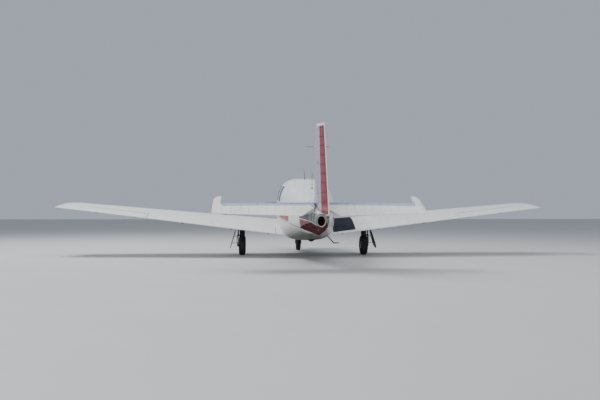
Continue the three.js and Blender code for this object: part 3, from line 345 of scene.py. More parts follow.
def piece(name, shape, look, body, stands_for=(), sharp=32, choose=None):
    """A shown piece of the aircraft that rides on a body.

    look is a material, or a list from which choose(centres, normals), given every face, takes an index."""
    mesh = mesh_of(Shape(stand(shape.points), shape.faces), name)
    looks = look if isinstance(look, list) else [look]
    for material in looks:
        mesh.materials.append(material)
    if choose is not None:
        index = choose(rest(numbers(mesh.polygons, "center")), numbers(mesh.polygons, "normal"))
        mesh.polygons.foreach_set("material_index", np.asarray(index, np.int32))
    mesh.shade_smooth()
    mesh.set_sharp_from_angle(angle=math.radians(sharp))
    thing = bpy.data.objects.new(name, mesh)
    bpy.context.scene.collection.objects.link(thing)
    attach(thing, body)
    if stands_for:
        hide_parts(*([stands_for] if isinstance(stands_for, str) else stands_for))
    return thing


def rest(points):
    """Points on the ground back in the airframe's frame: the reverse of stand()."""
    x, forward, up = np.moveaxis(np.asarray(points, float), -1, 0)
    forward, up = forward - forward_shift, up - thrust_height
    return np.stack([x, forward * tilt_cos + up * tilt_sin, up * tilt_cos - forward * tilt_sin], -1)


def both_sides(name, shape, look, body, stands_for=None, **rest_of):
    """The starboard piece and its mirror image to port. {side} in a name becomes right or left."""
    for side, form in (("right", shape), ("left", shape.mirrored())):
        node = stands_for.format(side=side) if stands_for else ()
        piece(name.format(side=side), form, look, body.format(side=side), node, **rest_of)


# Materials.


class Value:
    """A number that varies over a surface. Python's operators on it add Math nodes."""

    def __init__(self, look, socket):
        self.look, self.socket = look, socket

    def maths(self, operation, *others):
        """The result of one Math node on this number and up to two more."""
        inputs = dict(enumerate((self, *others)))
        return Value(self.look, self.look.node("Math", {"operation": operation}, inputs).outputs[0])

    def __add__(self, other):
        return self.maths("ADD", other)

    __radd__ = __add__

    def __mul__(self, other):
        return self.maths("MULTIPLY", other)

    __rmul__ = __mul__

    def __sub__(self, other):
        return self.maths("SUBTRACT", other)

    def __rsub__(self, other):
        return (self * -1) + other

    def __truediv__(self, other):
        return self.maths("DIVIDE", other)

    def __abs__(self):
        return self.maths("ABSOLUTE")

    def __gt__(self, other):
        return self.maths("GREATER_THAN", other)

    def least(self, other):
        return self.maths("MINIMUM", other)

    def most(self, other):
        return self.maths("MAXIMUM", other)

    def repeat(self, spacing):
        """How far this number is from the nearest multiple of a spacing."""
        return self.maths("PINGPONG", spacing / 2)

    def ramp(self, low, high, to_low=0.0, to_high=1.0):
        """A smooth step: to_low where this number is low, to_high where it is high."""
        settings = {"interpolation_type": "SMOOTHSTEP"}
        inputs = {"Value": self, "From Min": low, "From Max": high, "To Min": to_low, "To Max": to_high}
        return Value(self.look, self.look.node("MapRange", settings, inputs).outputs[0])

    def line(self, points):
        """A value that follows straight lines between (place, value) points, and is level beyond them."""
        total = None
        for (a, low), (b, high) in zip(points, points[1:]):
            inputs = {"Value": self, "From Min": a, "From Max": b, "To Min": 0.0, "To Max": high - low}
            made = self.look.node("MapRange", {"interpolation_type": "LINEAR"}, inputs)
            part = Value(self.look, made.outputs[0])
            total = part if total is None else total + part
        return total + points[0][1]

    def between(self, low, high, edge=0.002):
        """1 where this number lies between two others, with soft edges."""
        return (self - low).ramp(-edge, edge) * (high - self).ramp(-edge, edge)


class Look:
    """A material built from nodes on the place of a point in the airframe's frame."""

    def __init__(self, name, colour, roughness=0.5, **sockets):
        self.material = bpy.data.materials.new(name)
        self.material.use_nodes = True
        self.tree = self.material.node_tree
        self.shader = self.tree.nodes["Principled BSDF"]
        self.shader.inputs["Base Color"].default_value = (*colour, 1)
        self.shader.inputs["Roughness"].default_value = roughness
        for socket, value in sockets.items():
            title = socket.replace("_", " ").title().replace("Ior", "IOR")
            self.shader.inputs[title].default_value = value
        self.colour = colour
        self.place = None

    def node(self, kind, settings=None, inputs=None):
        """A node of a type, with its settings made first and then its sockets' values or links."""
        made = self.tree.nodes.new("ShaderNode" + kind)
        for name, value in (settings or {}).items():
            setattr(made, name, value)
        for key, value in (inputs or {}).items():
            socket = made.inputs[key]
            if isinstance(value, Value):
                value = value.socket
            if isinstance(value, bpy.types.NodeSocket):
                self.tree.links.new(value, socket)
            elif isinstance(value, tuple) and len(value) == 3 and socket.type == "RGBA":
                socket.default_value = (*value, 1)
            else:
                socket.default_value = value
        return made

    def position(self):
        """The airframe's coordinates of a point, from its object coordinates."""
        if self.place is None:
            object_place = self.node("TexCoord").outputs["Object"]
            turn = Matrix.Rotation(-nose_up, 3, "X")
            shift = -(turn @ Vector((0, forward_shift, thrust_height)))
            inputs = {"Vector": object_place, "Location": shift, "Rotation": (-nose_up, 0, 0)}
            self.place = self.node("Mapping", {"vector_type": "POINT"}, inputs).outputs[0]
        return self.place

    def xyz(self):
        """The three coordinates of the place, as numbers."""
        split = self.node("SeparateXYZ", None, {0: self.position()})
        return [Value(self, socket) for socket in split.outputs]

    def shader_up(self):
        """How far the surface faces upwards: the height part of its true normal."""
        split = self.node("SeparateXYZ", None, {0: self.node("NewGeometry").outputs["True Normal"]})
        return Value(self, split.outputs[2])

    def noise(self, scale, detail=3.0, roughness=0.5, stretch=(1, 1, 1)):
        """Fractal noise from 0 to 1, stretched along the axes by factors."""
        vector = self.position()
        if stretch != (1, 1, 1):
            vector = self.node("VectorMath", {"operation": "MULTIPLY"}, {0: vector, 1: stretch}).outputs[0]
        inputs = {"Vector": vector, "Scale": scale, "Detail": detail, "Roughness": roughness}
        return Value(self, self.node("TexNoise", None, inputs).outputs[0])

    def cells(self, scale):
        """Distance to the nearest of scattered points."""
        inputs = {"Vector": self.position(), "Scale": scale}
        return Value(self, self.node("TexVoronoi", {"feature": "F1"}, inputs).outputs["Distance"])

    def mix(self, factor, low, high):
        """A colour that goes from low to high with a factor."""
        made = self.node("Mix", {"data_type": "RGBA"}, {0: factor, 6: low, 7: high})
        return made.outputs[2]

    def over(self, factor, colour):
        """Paints a colour over what is there, as strongly as the factor."""
        self.colour = self.mix(factor, self.colour, colour)

    def feed(self, socket, value):
        """Joins a value to one of the shader's sockets."""
        self.tree.links.new(value.socket, self.shader.inputs[socket])

    def rough(self, value, low, high):
        """Roughness from low to high as a value goes from 0.3 to 0.7."""
        self.feed("Roughness", value.ramp(0.3, 0.7, low, high))

    def made(self, height=None, distance=0.001):
        """The finished material, its surface raised or sunk by a height as seen by light."""
        if height is not None:
            bump = self.node("Bump", None, {"Height": height, "Distance": distance, "Strength": 1.0})
            self.tree.links.new(bump.outputs[0], self.shader.inputs["Normal"])
        if isinstance(self.colour, bpy.types.NodeSocket):
            self.tree.links.new(self.colour, self.shader.inputs["Base Color"])
        return self.material


def shade(colour, factor):
    """A colour made darker or lighter."""
    return tuple(min(1.0, c * factor) for c in colour)


white = (0.78, 0.77, 0.75)
red = (0.26, 0.012, 0.028)
faded_red = (0.27, 0.045, 0.062)
red_in_painted_shade = (0.085, 0.0015, 0.004)
dusty_pink = (0.27, 0.11, 0.115)
elevator_shadow_grey = (0.125, 0.130, 0.150)
pale_shadow_grey = (0.30, 0.31, 0.29)
slate_blue = (0.024, 0.028, 0.046)
sky_reflection_blue = (0.36, 0.42, 0.60)
painted_shade_purple = (0.46, 0.40, 0.49)


def rivets(along, across, spacing):
    """Small round heads in a row: a dome where along is near a multiple of the spacing and across near 0."""
    nearest = along.repeat(spacing)
    away = (nearest * nearest + across * across).maths("SQRT")
    return away.ramp(rivet_radius * 0.5, rivet_radius, 1, 0)


def aged_paint(look, seams, raised, dirt, matt=None):
    """Gloss paint with sunk seams, raised rivets, mottling and streaked dirt, and no gloss where matt is 1.
    It finishes the look, and a caller may paint over it and finish it again."""
    streaks = look.noise(6, 5, 0.6, (3, 0.35, 3))
    patches = look.noise(1.7, 4, 0.55)
    grime = (streaks * patches).ramp(0.22, 0.42) * dirt
    look.over(grime * 0.6, (0.20, 0.185, 0.165))
    look.over(seams * 0.55, (0.16, 0.16, 0.17))
    fine = look.noise(38, 3, 0.5)
    polish = (fine * 0.5 + patches * 0.5).ramp(0.3, 0.7, 0.22, 0.42)
    if matt is not None:
        look.feed("Coat Weight", (1 - matt) * paint_coat)
        polish = polish.most(matt * 0.95)
    look.feed("Roughness", polish)
    orange_peel = look.noise(220, 2, 0.5)
    return look.made(raised * 1.0 - seams * 1.6 + orange_peel * 0.05, 0.0012)


paint_coat, paint_specular = 0.25, 0.25
rivet_radius = 0.0022
frame_spacing, wing_rib_spacing, rudder_rib_spacing = 0.34, 0.46, 0.155


def fuselage_paint():
    """White with the stripes of the side: a red stripe, thin lines and a sweep under the tail whose red is
    darkened almost to black as painted shade. Painted shadow greys the fairing below the elevators, a painted
    highlight whitens the lip of the tail's opening, and the dark belly is partly dirt and partly painted
    shade.
    """
    look = Look("fuselage_paint", white, coat_weight=paint_coat, specular_ior_level=paint_specular)
    look.colour = white
    x, y, z = look.xyz()
    # A red patch ends behind the cabin, and a thin line runs on below it to the tail.
    lower = y.line([(-2.02, -0.118), (-0.765, -0.083), (0.6, -0.060), (1.7, -0.042), (2.7, -0.030)])
    thin = y.line([(-2.664, -0.170), (-2.374, -0.157), (-2.02, -0.141), (0.6, -0.083), (2.7, -0.050)])
    height = y.line([(-2.02, 0.150), (-0.765, 0.130), (0.6, 0.090), (2.7, 0.028)])
    look.over((z - lower).between(0, height, 0.0015) * y.between(-2.02, 2.76), red)
    look.over((z - thin).between(-0.005, 0.006, 0.0015) * y.between(-2.66, 2.76), red)
    # Behind the cone's last frame the bands run back over the fairing.
    band = y.between(-4.2, -2.795)
    sweep_top = y.line([(-4.08, -0.042), (-3.657, -0.006), (-3.18, -0.069), (-2.664, -0.169)])
    sweep_foot = y.line([(-3.02, -0.60), (-2.964, -0.217), (-2.796, -0.186), (-2.664, -0.170)])
    white_line = y.line([(-4.08, -0.047), (-3.667, 0.005), (-2.949, 0.005)])
    # Painted shadow below the elevators: grey above the white line, paler aft, crossed by dark vertical
    # lines.
    elevator_shadow_zone = z.between(white_line, y.line([(-3.70, 0.160), (-3.40, 0.125), (-3.00, 0.090)])) * band
    look.over(elevator_shadow_zone, elevator_shadow_grey)
    ribbed = elevator_shadow_zone * y.ramp(-3.43, -3.42, 1, 0)
    look.over(ribbed, pale_shadow_grey)
    look.over(ribbed * (y + 3.50).repeat(0.18).ramp(0.014, 0.030, 0.8, 0), shade(slate_blue, 0.6))
    look.over(z.between(sweep_top, white_line) * band, dusty_pink)
    look.over((z - white_line).between(-0.007, 0.007, 0.0015) * band, white)
    # Dark film on the belly, from the firewall to the tail: partly oily dirt, partly painted shade of the
    # underside.
    belly = y.line([(-2.98, -0.235), (-2.40, -0.330), (-1.70, -0.450), (-1.20, -0.560), (-0.60, -0.600),
                    (0.80, -0.600), (1.35, -0.560), (2.20, -0.470), (2.80, -0.300)])
    belly_film_and_shade = (z - belly).ramp(0.0, 0.15, 0.9, 0) * y.ramp(-2.95, -2.50)
    look.over(belly_film_and_shade * look.noise(2.5, 4, 0.6, (3, 0.5, 1)).ramp(0.2, 0.6, 0.6, 1), (0.055, 0.055, 0.05))
    # The sweep runs on forwards below the belly between two slanted edges.
    port_edge = z + x * 0.3700 + y * 0.0596 + 0.4415
    starboard_edge = z - x * 0.7709 + y * 0.1718 + 0.8609
    below = port_edge.ramp(0, 0.002) * starboard_edge.ramp(0, 0.002)
    below = below * y.between(-2.99, -1.9) * z.ramp(-0.202, -0.198, 1, 0)
    sweep = below.most(z.between(sweep_foot, sweep_top) * y.between(-4.2, -2.664))
    # The sweep is the red stripe darkened almost to black: painted shade of the underside, mottled by darker
    # stains.
    look.over(sweep, red_in_painted_shade)
    look.over(sweep * look.noise(5, 4, 0.6, (1, 1, 0.4)).ramp(0.45, 0.62) * 0.6, shade(red_in_painted_shade, 0.2))
    # The lip of the tail's opening is painted white, partly as a painted highlight of the lit rim.
    look.over(y.ramp(-4.066, -4.060, 1, 0) * z.ramp(0.0, 0.02, 1, 0) * x.ramp(-0.03, -0.01), white)
    # Frames, stringers and their rivets.
    frames = y.repeat(frame_spacing).ramp(0.0, 0.0012, 1, 0)
    stringer = (abs(z - 0.16).least(abs(z + 0.30))).least(abs(x).ramp(0, 0.01, 0, 1))
    stringers = stringer.ramp(0.0, 0.0012, 1, 0) * y.ramp(1.30, 1.32, 1, 0)
    seams = frames.most(stringers)
    heads = rivets(z, y.repeat(frame_spacing) - 0.012, 0.03)
    heads = heads.most(rivets(y, z - 0.148, 0.03)).most(rivets(y, z + 0.288, 0.03))
    # Grime grows towards the belly: partly dirt, partly painted shade of the underside.
    under = z.ramp(-0.55, -0.2, 1.0, 0.18)
    return aged_paint(look, seams, heads, under, matt=(z.between(-0.30, 0.12, 0.01) * band * 0.7).most(sweep))


def wing_paint():
    """White with ribs along the chord, two spar lines along the span, and rivets beside them."""
    look = Look("wing_paint", white, coat_weight=paint_coat, specular_ior_level=paint_specular)
    x, y, z = look.xyz()
    span = abs(x)
    ribs = span.repeat(wing_rib_spacing).ramp(0, 0.0012, 1, 0)
    chord_part = (wing_nose_y - y) / (root_chord - span * ((root_chord - tip_chord) / half_span))
    spar_front = (chord_part - 0.16) * 1.6
    spar_back = (chord_part - 0.62) * 1.6
    spars = abs(spar_front).least(abs(spar_back)).ramp(0, 0.0012, 1, 0)
    heads = rivets(y, span.repeat(wing_rib_spacing) - 0.010, 0.035)
    heads = heads.most(rivets(span, spar_front - 0.012, 0.035))
    heads = heads.most(rivets(span, spar_back + 0.012, 0.035))
    inner_edge, outer_edge = span + (chord_part - 0.2) * 0.12, span + (chord_part - 0.2) * 0.067
    on_root = inner_edge.ramp(0.663, 0.665) * outer_edge.ramp(1.121, 1.123, 1, 0)
    on_root = on_root * chord_part.between(0.16, 0.952, 0.001) * (x > 0)
    walkway = on_root * (look.shader_up() > -0.5)
    grit = look.noise(900, 2, 0.6)
    aged_paint(look, ribs.most(spars), heads, span.ramp(0.3, 3.0, 0.55, 0.22), matt=walkway)
    look.over(walkway, slate_blue)
    look.over(walkway * grit.ramp(0.45, 0.6), shade(slate_blue, 0.45))
    look.over(walkway * look.noise(7, 4, 0.6).ramp(0.5, 0.75) * 0.35, (0.09, 0.09, 0.095))
    return look.made()


def trim():
    """Warm grey cabin lining: fine leather grain and soft creases."""
    look = Look("cabin_lining", (0.42, 0.40, 0.37), 0.7)
    grain = look.cells(420)
    creases = look.noise(9, 4, 0.6)
    look.over(creases.ramp(0.35, 0.75), (0.30, 0.285, 0.265))
    look.rough(creases, 0.6, 0.85)
    return look.made(grain + creases * 0.6, 0.0008)


def primer():
    """Yellow-green primer inside the tail, with dust."""
    look = Look("primer", (0.28, 0.33, 0.12), 0.65)
    dust = look.noise(14, 5, 0.6)
    look.over(dust.ramp(0.45, 0.75), (0.22, 0.22, 0.15))
    look.rough(dust, 0.5, 0.85)
    return look.made(look.noise(120), 0.0005)


def rubber(name):
    """Black rubber: grey scuffing, dust in patches and a fine mould texture."""
    look = Look(name, (0.018, 0.018, 0.02), 0.8)
    scuff = look.noise(18, 6, 0.65)
    fine = look.noise(420, 2)
    look.over(scuff.ramp(0.45, 0.8), (0.06, 0.057, 0.053))
    look.rough(scuff, 0.68, 0.92)
    return look.made(fine * 0.4 + scuff * 0.3, 0.0008)


def bare_metal(name, colour, roughness, grain=(1, 1, 1)):
    """Worked metal: fine scratches along a grain, darker stains, uneven polish."""
    look = Look(name, colour, roughness, metallic=1.0)
    scratches = look.noise(160, 3, 0.6, grain)
    stains = look.noise(11, 5, 0.6)
    look.over(stains.ramp(0.5, 0.75) * 0.6, shade(colour, 0.4))
    look.rough(scratches * 0.5 + stains * 0.5, roughness * 0.75, min(1, roughness * 1.5))
    return look.made(scratches, 0.0003)


def enamel(name, colour, roughness=0.35, chips=0.25):
    """Painted metal: slight mottling, darker chips and an orange-peel surface."""
    look = Look(name, colour, roughness, coat_weight=0.15)
    mottle = look.noise(12, 4, 0.6)
    chip = look.noise(65, 4, 0.7)
    look.over(mottle.ramp(0.4, 0.75) * 0.35, shade(colour, 0.6))
    look.over(chip.ramp(0.68, 0.72) * chips, (0.07, 0.065, 0.06))
    look.rough(mottle, roughness * 0.8, min(1, roughness * 1.5))
    return look.made(look.noise(240, 2) * 0.2 - chip.ramp(0.68, 0.72) * 0.4 * chips, 0.0008)


def plastic(name, colour, roughness=0.5):
    """Moulded plastic with a fine stipple and a few worn, shinier places."""
    look = Look(name, colour, roughness)
    wear = look.noise(8, 4, 0.6)
    look.over(wear.ramp(0.5, 0.8) * 0.5, shade(colour, 1.6))
    look.rough(wear, roughness * 0.8, min(1, roughness * 1.35))
    return look.made(look.cells(700) * 0.5, 0.0004)


def glazing(name, tint, clearness):
    """Tinted acrylic: clear, slightly rippled, with faint cleaning haze."""
    roughness = 0.02
    look = Look(name, tint, roughness, transmission_weight=clearness, ior=1.49)
    haze = look.noise(7, 5, 0.6)
    look.over(haze.ramp(0.5, 0.8) * 0.25, (0.75, 0.8, 0.85))
    look.feed("Roughness", haze.ramp(0.35, 0.8, roughness, roughness + 0.07))
    return look.made(look.noise(3.5, 2) * 0.5, 0.0015)


def cloth(name, colour):
    """Woven upholstery: two crossed sets of threads, soft fading and lint."""
    look = Look(name, colour, 0.9, sheen_weight=0.35)
    weave = 900.0
    x, y, z = look.xyz()
    warp = (x * weave).maths("SINE")
    weft = ((y + z) * weave).maths("SINE")
    threads = warp * weft
    fade = look.noise(5, 4, 0.6)
    lint = look.noise(90, 3, 0.7)
    look.over(fade.ramp(0.35, 0.75), shade(colour, 1.45))
    look.over(threads.ramp(-0.6, 0.9) * 0.35, shade(colour, 0.6))
    look.over(lint.ramp(0.66, 0.78) * 0.25, (0.5, 0.5, 0.5))
    look.rough(fade, 0.82, 0.98)
    return look.made(threads * 0.5 + lint * 0.4, 0.0012)


def carpet():
    """Short looped carpet with trodden patches."""
    look = Look("carpet", (0.075, 0.085, 0.105), 0.98)
    loops = look.cells(330)
    trodden = look.noise(6, 4, 0.6)
    look.over(loops.ramp(0.1, 0.5), (0.035, 0.04, 0.05))
    look.over(trodden.ramp(0.5, 0.75) * 0.5, (0.12, 0.11, 0.10))
    look.rough(trodden, 0.9, 1.0)
    return look.made(loops, 0.003)


def lens(name, colour):
    """A coloured light lens with fine ribs."""
    look = Look(name, colour, 0.12, transmission_weight=0.35, coat_weight=0.6)
    x, y, z = look.xyz()
    ribs = (y * 900).maths("SINE")
    look.over(look.noise(60).ramp(0.5, 0.8) * 0.3, shade(colour, 0.5))
    look.rough(look.noise(30), 0.08, 0.2)
    return look.made(ribs, 0.0006)


def rudder_paint():
    """Faded red between a pale purple nose, painted shade like the white fin beside it, and a white trailing
    edge that is partly a painted highlight, with a crimson foot, a white cap and dark marks along the ribs.
    Painted shade darkens the red towards the trailing edge. The chord is measured from the hinge line, the
    rudder being parked aside."""
    look = Look("rudder_paint", red, 0.4, coat_weight=0.2, specular_ior_level=paint_specular)
    x, y, z = look.xyz()
    look.colour = red
    look.over(z.ramp(0.26, 0.50), faded_red)
    hinge = (z - 0.15) * 0.2484 - 3.88
    behind = (hinge - y) / math.cos(math.radians(rudder_rest))
    chord = 0.462 - z * 0.0977
    ribs = (z - 0.050).repeat(rudder_rib_spacing).ramp(0.002, 0.013, 1, 0)
    ribs = ribs * behind.between(0.06, chord - 0.05, 0.01)
    # Painted shade darkens the red towards the trailing edge.
    look.over((behind - chord).ramp(-0.075, -0.035) * 0.5, shade(red_in_painted_shade, 0.5))
    look.over(ribs * look.noise(30, 3).ramp(0.30, 0.55) * 0.9, shade(faded_red, 0.15))
    nose = 0.162 - z * 0.042
    # The nose is pale purple: painted shade, like the white fin beside it.
    look.over((nose - behind).ramp(-0.002, 0.002), painted_shade_purple)
    # A white strip along the trailing edge, partly a painted highlight of the sunlit edge.
    look.over((behind - (chord - 0.016)).ramp(-0.002, 0.002), white)
    look.over(z.ramp(1.630, 1.633), white)
    heads = rivets(behind, (z - 0.050).repeat(rudder_rib_spacing) - 0.014, 0.028)
    return aged_paint(look, ribs * 0.1, heads, 0.35)


def tail_paint(name, colour, ribs_over, spacing):
    """One colour with raised ribs marked by rivets and streaks of grime."""
    look = Look(name, colour, 0.4, coat_weight=0.2, specular_ior_level=paint_specular)
    look.colour = colour
    x, y, z = look.xyz()
    across, along = (abs(x), y) if ribs_over == "span" else (z, y)
    if name == "elevator_paint":
        # The root's stripes run aslant, back from the hinge line.
        inner = across - (y + 3.66) * 0.62
        look.over(inner.between(0.085, 0.190, 0.001), faded_red)
        look.over(inner.between(0.128, 0.165, 0.001), white)
        # The stabiliser's painted sky reflection runs on over the elevator's nose.
        nose_reflection_band = y.ramp(-3.737, -3.733) * (look.shader_up() > 0) * across.ramp(1.645, 1.650, 1, 0)
        look.over(nose_reflection_band, sky_reflection_blue)
    ribs = across.repeat(spacing).ramp(0.0, 0.0012, 1, 0)
    heads = rivets(along, across.repeat(spacing) - 0.01, 0.028)
    return aged_paint(look, ribs, heads, 0.3)


# The fuselage's form.

# Columns: place along Y, half width, top, bottom, height of the widest line, roundness above it and below it.
fuselage_sections = np.array([
    [2.800, 0.255, 0.125, -0.300, -0.060, 2.3, 2.4],
    [2.760, 0.305, 0.150, -0.335, -0.060, 2.4, 2.6],
    [2.600, 0.410, 0.172, -0.400, -0.070, 2.5, 2.7],
    [2.200, 0.480, 0.215, -0.470, -0.080, 2.7, 2.9],
    [1.700, 0.520, 0.270, -0.520, -0.090, 2.9, 3.1],
    [1.350, 0.555, 0.302, -0.560, -0.090, 3.0, 3.3],
    [1.000, 0.575, 0.510, -0.590, -0.060, 2.8, 3.4],
    [0.800, 0.583, 0.620, -0.600, -0.030, 2.8, 3.4],
    [0.600, 0.588, 0.692, -0.600, 0.000, 2.9, 3.4],
    [0.200, 0.590, 0.720, -0.600, 0.000, 3.0, 3.4],
    [-0.600, 0.582, 0.700, -0.600, 0.000, 3.0, 3.4],
    [-1.200, 0.556, 0.622, -0.560, -0.030, 2.9, 3.2],
    [-1.700, 0.500, 0.545, -0.450, 0.000, 2.8, 3.0],
    [-2.400, 0.360, 0.440, -0.330, 0.030, 2.6, 2.8],
    [-2.980, 0.245, 0.350, -0.235, 0.058, 2.4, 2.6],
    [-3.400, 0.175, 0.300, -0.165, 0.070, 2.3, 2.4],
    [-3.700, 0.130, 0.250, -0.115, 0.065, 2.2, 2.2],
    [-4.080, 0.075, 0.140, -0.050, 0.045, 2.0, 2.0],
])
firewall_y, cabin_back_y = 1.700, -1.700
cone_end_y, fairing_start_y, fairing_end_y = -2.980, -3.006, -4.080
cowl_nose_y = 2.800
cabin_wall, tail_wall, cowl_skin, fairing_wall = 0.045, 0.030, 0.008, 0.014
floor_top = -0.450
door_gap = 0.007
ring_count, ring_spacing = 132, 0.045


def between_rows(table, at):
    """Rows of a table at new places in its first column. Each cubic's slope is the weighted harmonic mean of
    its neighbours' slopes where those have one sign and 0 where they don't, so no value overshoots."""
    table = table[np.argsort(table[:, 0])]
    place, value = table[:, 0], table[:, 1:]
    step = np.diff(place)[:, None]
    slope = np.diff(value, axis=0) / step
    weight_a, weight_b = 2 * step[1:] + step[:-1], step[1:] + 2 * step[:-1]
    same = slope[:-1] * slope[1:] > 0
    a, b = np.where(same, slope[:-1], 1), np.where(same, slope[1:], 1)
    inner = np.where(same, (weight_a + weight_b) / (weight_a / a + weight_b / b), 0)
    tangent = np.concatenate([slope[:1], inner, slope[-1:]])
    at = np.atleast_1d(np.asarray(at, float))
    i = np.clip(np.searchsorted(place, at) - 1, 0, len(place) - 2)
    h = step[i]
    t = ((at - place[i])[:, None]) / h
    first = (1 + 2 * t) * (1 - t) ** 2 * value[i] + t * (1 - t) ** 2 * h * tangent[i]
    return first + t**2 * (3 - 2 * t) * value[i + 1] + t**2 * (t - 1) * h * tangent[i + 1]


def fuselage(front, back, inset=0.0):
    """The fuselage's form between two places along Y, drawn in from the skin. At an angle a, x is the half
    width times |cos a| to the power 2/n, and z goes from the widest line by the reach times |sin a| to the
    power 2/n."""
    y = np.linspace(front, back, max(2, int(abs(front - back) / ring_spacing) + 1))
    half, top, bottom, middle, above, below = between_rows(fuselage_sections, y).T[:, :, None]
    angle = full_turn(ring_count)[None, :]
    across, up = np.cos(angle), np.sin(angle)
    power = 2 / np.where(up >= 0, above, below)
    reach = np.where(up >= 0, top - middle, middle - bottom) - inset
    x = np.sign(across) * np.abs(across) ** power * (half - inset)
    z = middle + np.sign(up) * np.abs(up) ** power * reach
    return loft(np.stack(np.broadcast_arrays(x, y[:, None], z), -1))


def nearness(points):
    """1 on the skin and less inside: (x over the half width) to the power n plus the same for z."""
    x, y, z = np.moveaxis(points, -1, 0)
    half, top, bottom, middle, above, below = between_rows(fuselage_sections, y).T
    power = np.where(z > middle, above, below)
    reach = np.where(z > middle, top - middle, middle - bottom)
    return (np.abs(x) / half) ** power + (np.abs(z - middle) / reach) ** power


def skin_x(y, z):
    """Where the skin lies to starboard at a place along Y and a height."""
    half, top, bottom, middle, above, below = between_rows(fuselage_sections, y)[0]
    reach, power = (top - middle, above) if z > middle else (middle - bottom, below)
    return half * (1 - min(1, abs((z - middle) / reach)) ** power) ** (1 / power)


def skin_z(x, y, upper=True):
    """The height of the skin at a place across and along."""
    half, top, bottom, middle, above, below = between_rows(fuselage_sections, y)[0]
    end, power = (top, above) if upper else (bottom, below)
    return middle + (end - middle) * (1 - min(1, abs(x) / half) ** power) ** (1 / power)


def outside_only(limit=0.90):
    """Chooses the first look for faces on the skin and the second for what lies deeper."""
    return lambda centres, normals: np.where(nearness(centres) > limit, 0, 1)


def frame_at(place, along, towards):
    """A 4x4 matrix with X along a line, Y towards a direction and Z across both."""
    x = Vector(along).normalized()
    z = x.cross(Vector(towards)).normalized()
    y = z.cross(x)
    matrix = Matrix((x, y, z)).transposed().to_4x4()
    matrix.translation = Vector(place)
    return matrix


# Openings, as [y, z] outlines seen from the side, with their corners rounded in the skin.

door_outline = [[0.800, -0.105], [0.800, 0.200], [0.520, 0.600], [-0.300, 0.600], [-0.300, -0.105]]
door_reach = 1.012
front_window = [[0.728, 0.215], [0.497, 0.545], [-0.140, 0.560], [-0.140, 0.215]]
rear_window = [[-0.320, 0.215], [-0.320, 0.560], [-0.800, 0.545], [-0.880, 0.215]]
hatch_front, hatch_back, hatch_top, hatch_bottom = -0.985, -1.405, 0.400, 0.020
windscreen = [[1.500, 0.290], [0.975, 0.290], [0.594, 0.735], [0.594, 0.900], [1.500, 0.900]]
centre_post = 0.012
window_corner = 0.055
side_reach = 0.8
knuckle_radius, knuckle_length = 0.006, 0.040
knuckle_out = knuckle_radius + 0.004
door_hinge_y = 0.800 - door_gap / 2
door_hinge_x = skin_x(door_hinge_y, 0) + knuckle_out


def door_space(gap):
    """Where the cabin door lies: its outline drawn in by the gap, within a round about its hinge line."""
    outline = rounded(inset(door_outline, gap), 0.05)
    foot, head = [door_hinge_x, door_hinge_y, -0.3], [door_hinge_x, door_hinge_y, 0.8]
    round_edge = rod(foot, head, door_reach - gap, 160)
    return common(prism(outline, 0, side_reach), round_edge)


hatch_hinge_z = hatch_top - door_gap / 2
hatch_hinge = [np.array([0.48407, -1.330, hatch_hinge_z]), np.array([0.51656, -1.060, hatch_hinge_z])]
hatch_run = hatch_hinge[1] - hatch_hinge[0]
hatch_y = (hatch_front + hatch_back) / 2
hatch_middle = [skin_x(hatch_y, hatch_hinge_z) + knuckle_out, hatch_y, hatch_hinge_z]


def hatch_space(gap):
    """Where the baggage door lies, square to its hinge line and with rounded corners."""
    half = (hatch_front - hatch_back) / 2 - gap
    outline = rectangle(-half, half, hatch_bottom - hatch_hinge_z + gap, door_gap / 2 - gap, 0.03)
    return prism(outline, -0.2, 0.06, "xy").turned(frame_at(hatch_middle, hatch_run, upwards))


# Half width, back, front and top of the nose wheel's bay and of its leg's tunnel.
nose_spaces = ((0.100, 0.930, 1.345, -0.290), (0.100, 1.335, 1.790, -0.430))


def nose_blocks(grow):
    """The nose wheel's bay and its leg's tunnel, made larger by a wall."""
    return [box((-half - grow, half + grow), (back - grow, front + grow), (-0.8, top + grow))
            for half, back, front, top in nose_spaces]


front_opening = rounded(front_window, window_corner)
screen_opening = prism(rounded(windscreen, 0.03), centre_post, side_reach)

cabin_outer = fuselage(firewall_y, cabin_back_y)
cabin_inner = common(
    fuselage(firewall_y - cabin_wall, cabin_back_y + cabin_wall, cabin_wall),
    box((-1, 1), (cabin_back_y, firewall_y), (floor_top, 1)),
)
bay_cover = common(join(*nose_blocks(0.03)), fuselage(firewall_y, cabin_back_y, cabin_wall / 2))
cabin_form = cut(
    join(cut(cabin_outer, cabin_inner), bay_cover),
    *nose_blocks(0),
    prism(front_opening, -side_reach, 0),
    prism(rounded(rear_window, window_corner), -side_reach, side_reach),
    screen_opening,
    screen_opening.mirrored(),
    door_space(0),
    hatch_space(0),
)
cabin_skin = cut(cabin_outer, fuselage(firewall_y + 0.001, cabin_back_y - 0.001, cabin_wall))
door_form = cut(common(cabin_skin, door_space(door_gap)), prism(front_opening, 0, side_reach))
hatch_form = common(cabin_skin, hatch_space(door_gap))

fuselage_look = fuselage_paint()
trim_look = trim()
for name, form, body, node in (
    ("cabin_skin", cabin_form, "airframe", "cabin_shell"),
    ("cabin_door_skin", door_form, "cabin_door", "cabin_door"),
    ("baggage_door_skin", hatch_form, "baggage_door", "baggage_door"),
):
    piece(name, form, [fuselage_look, trim_look], body, node, choose=outside_only())

cone_form = cut(
    fuselage(cabin_back_y - seat_gap, cone_end_y),
    fuselage(cabin_back_y + 0.001, cone_end_y + 0.025, tail_wall),
)
primer_look = primer()


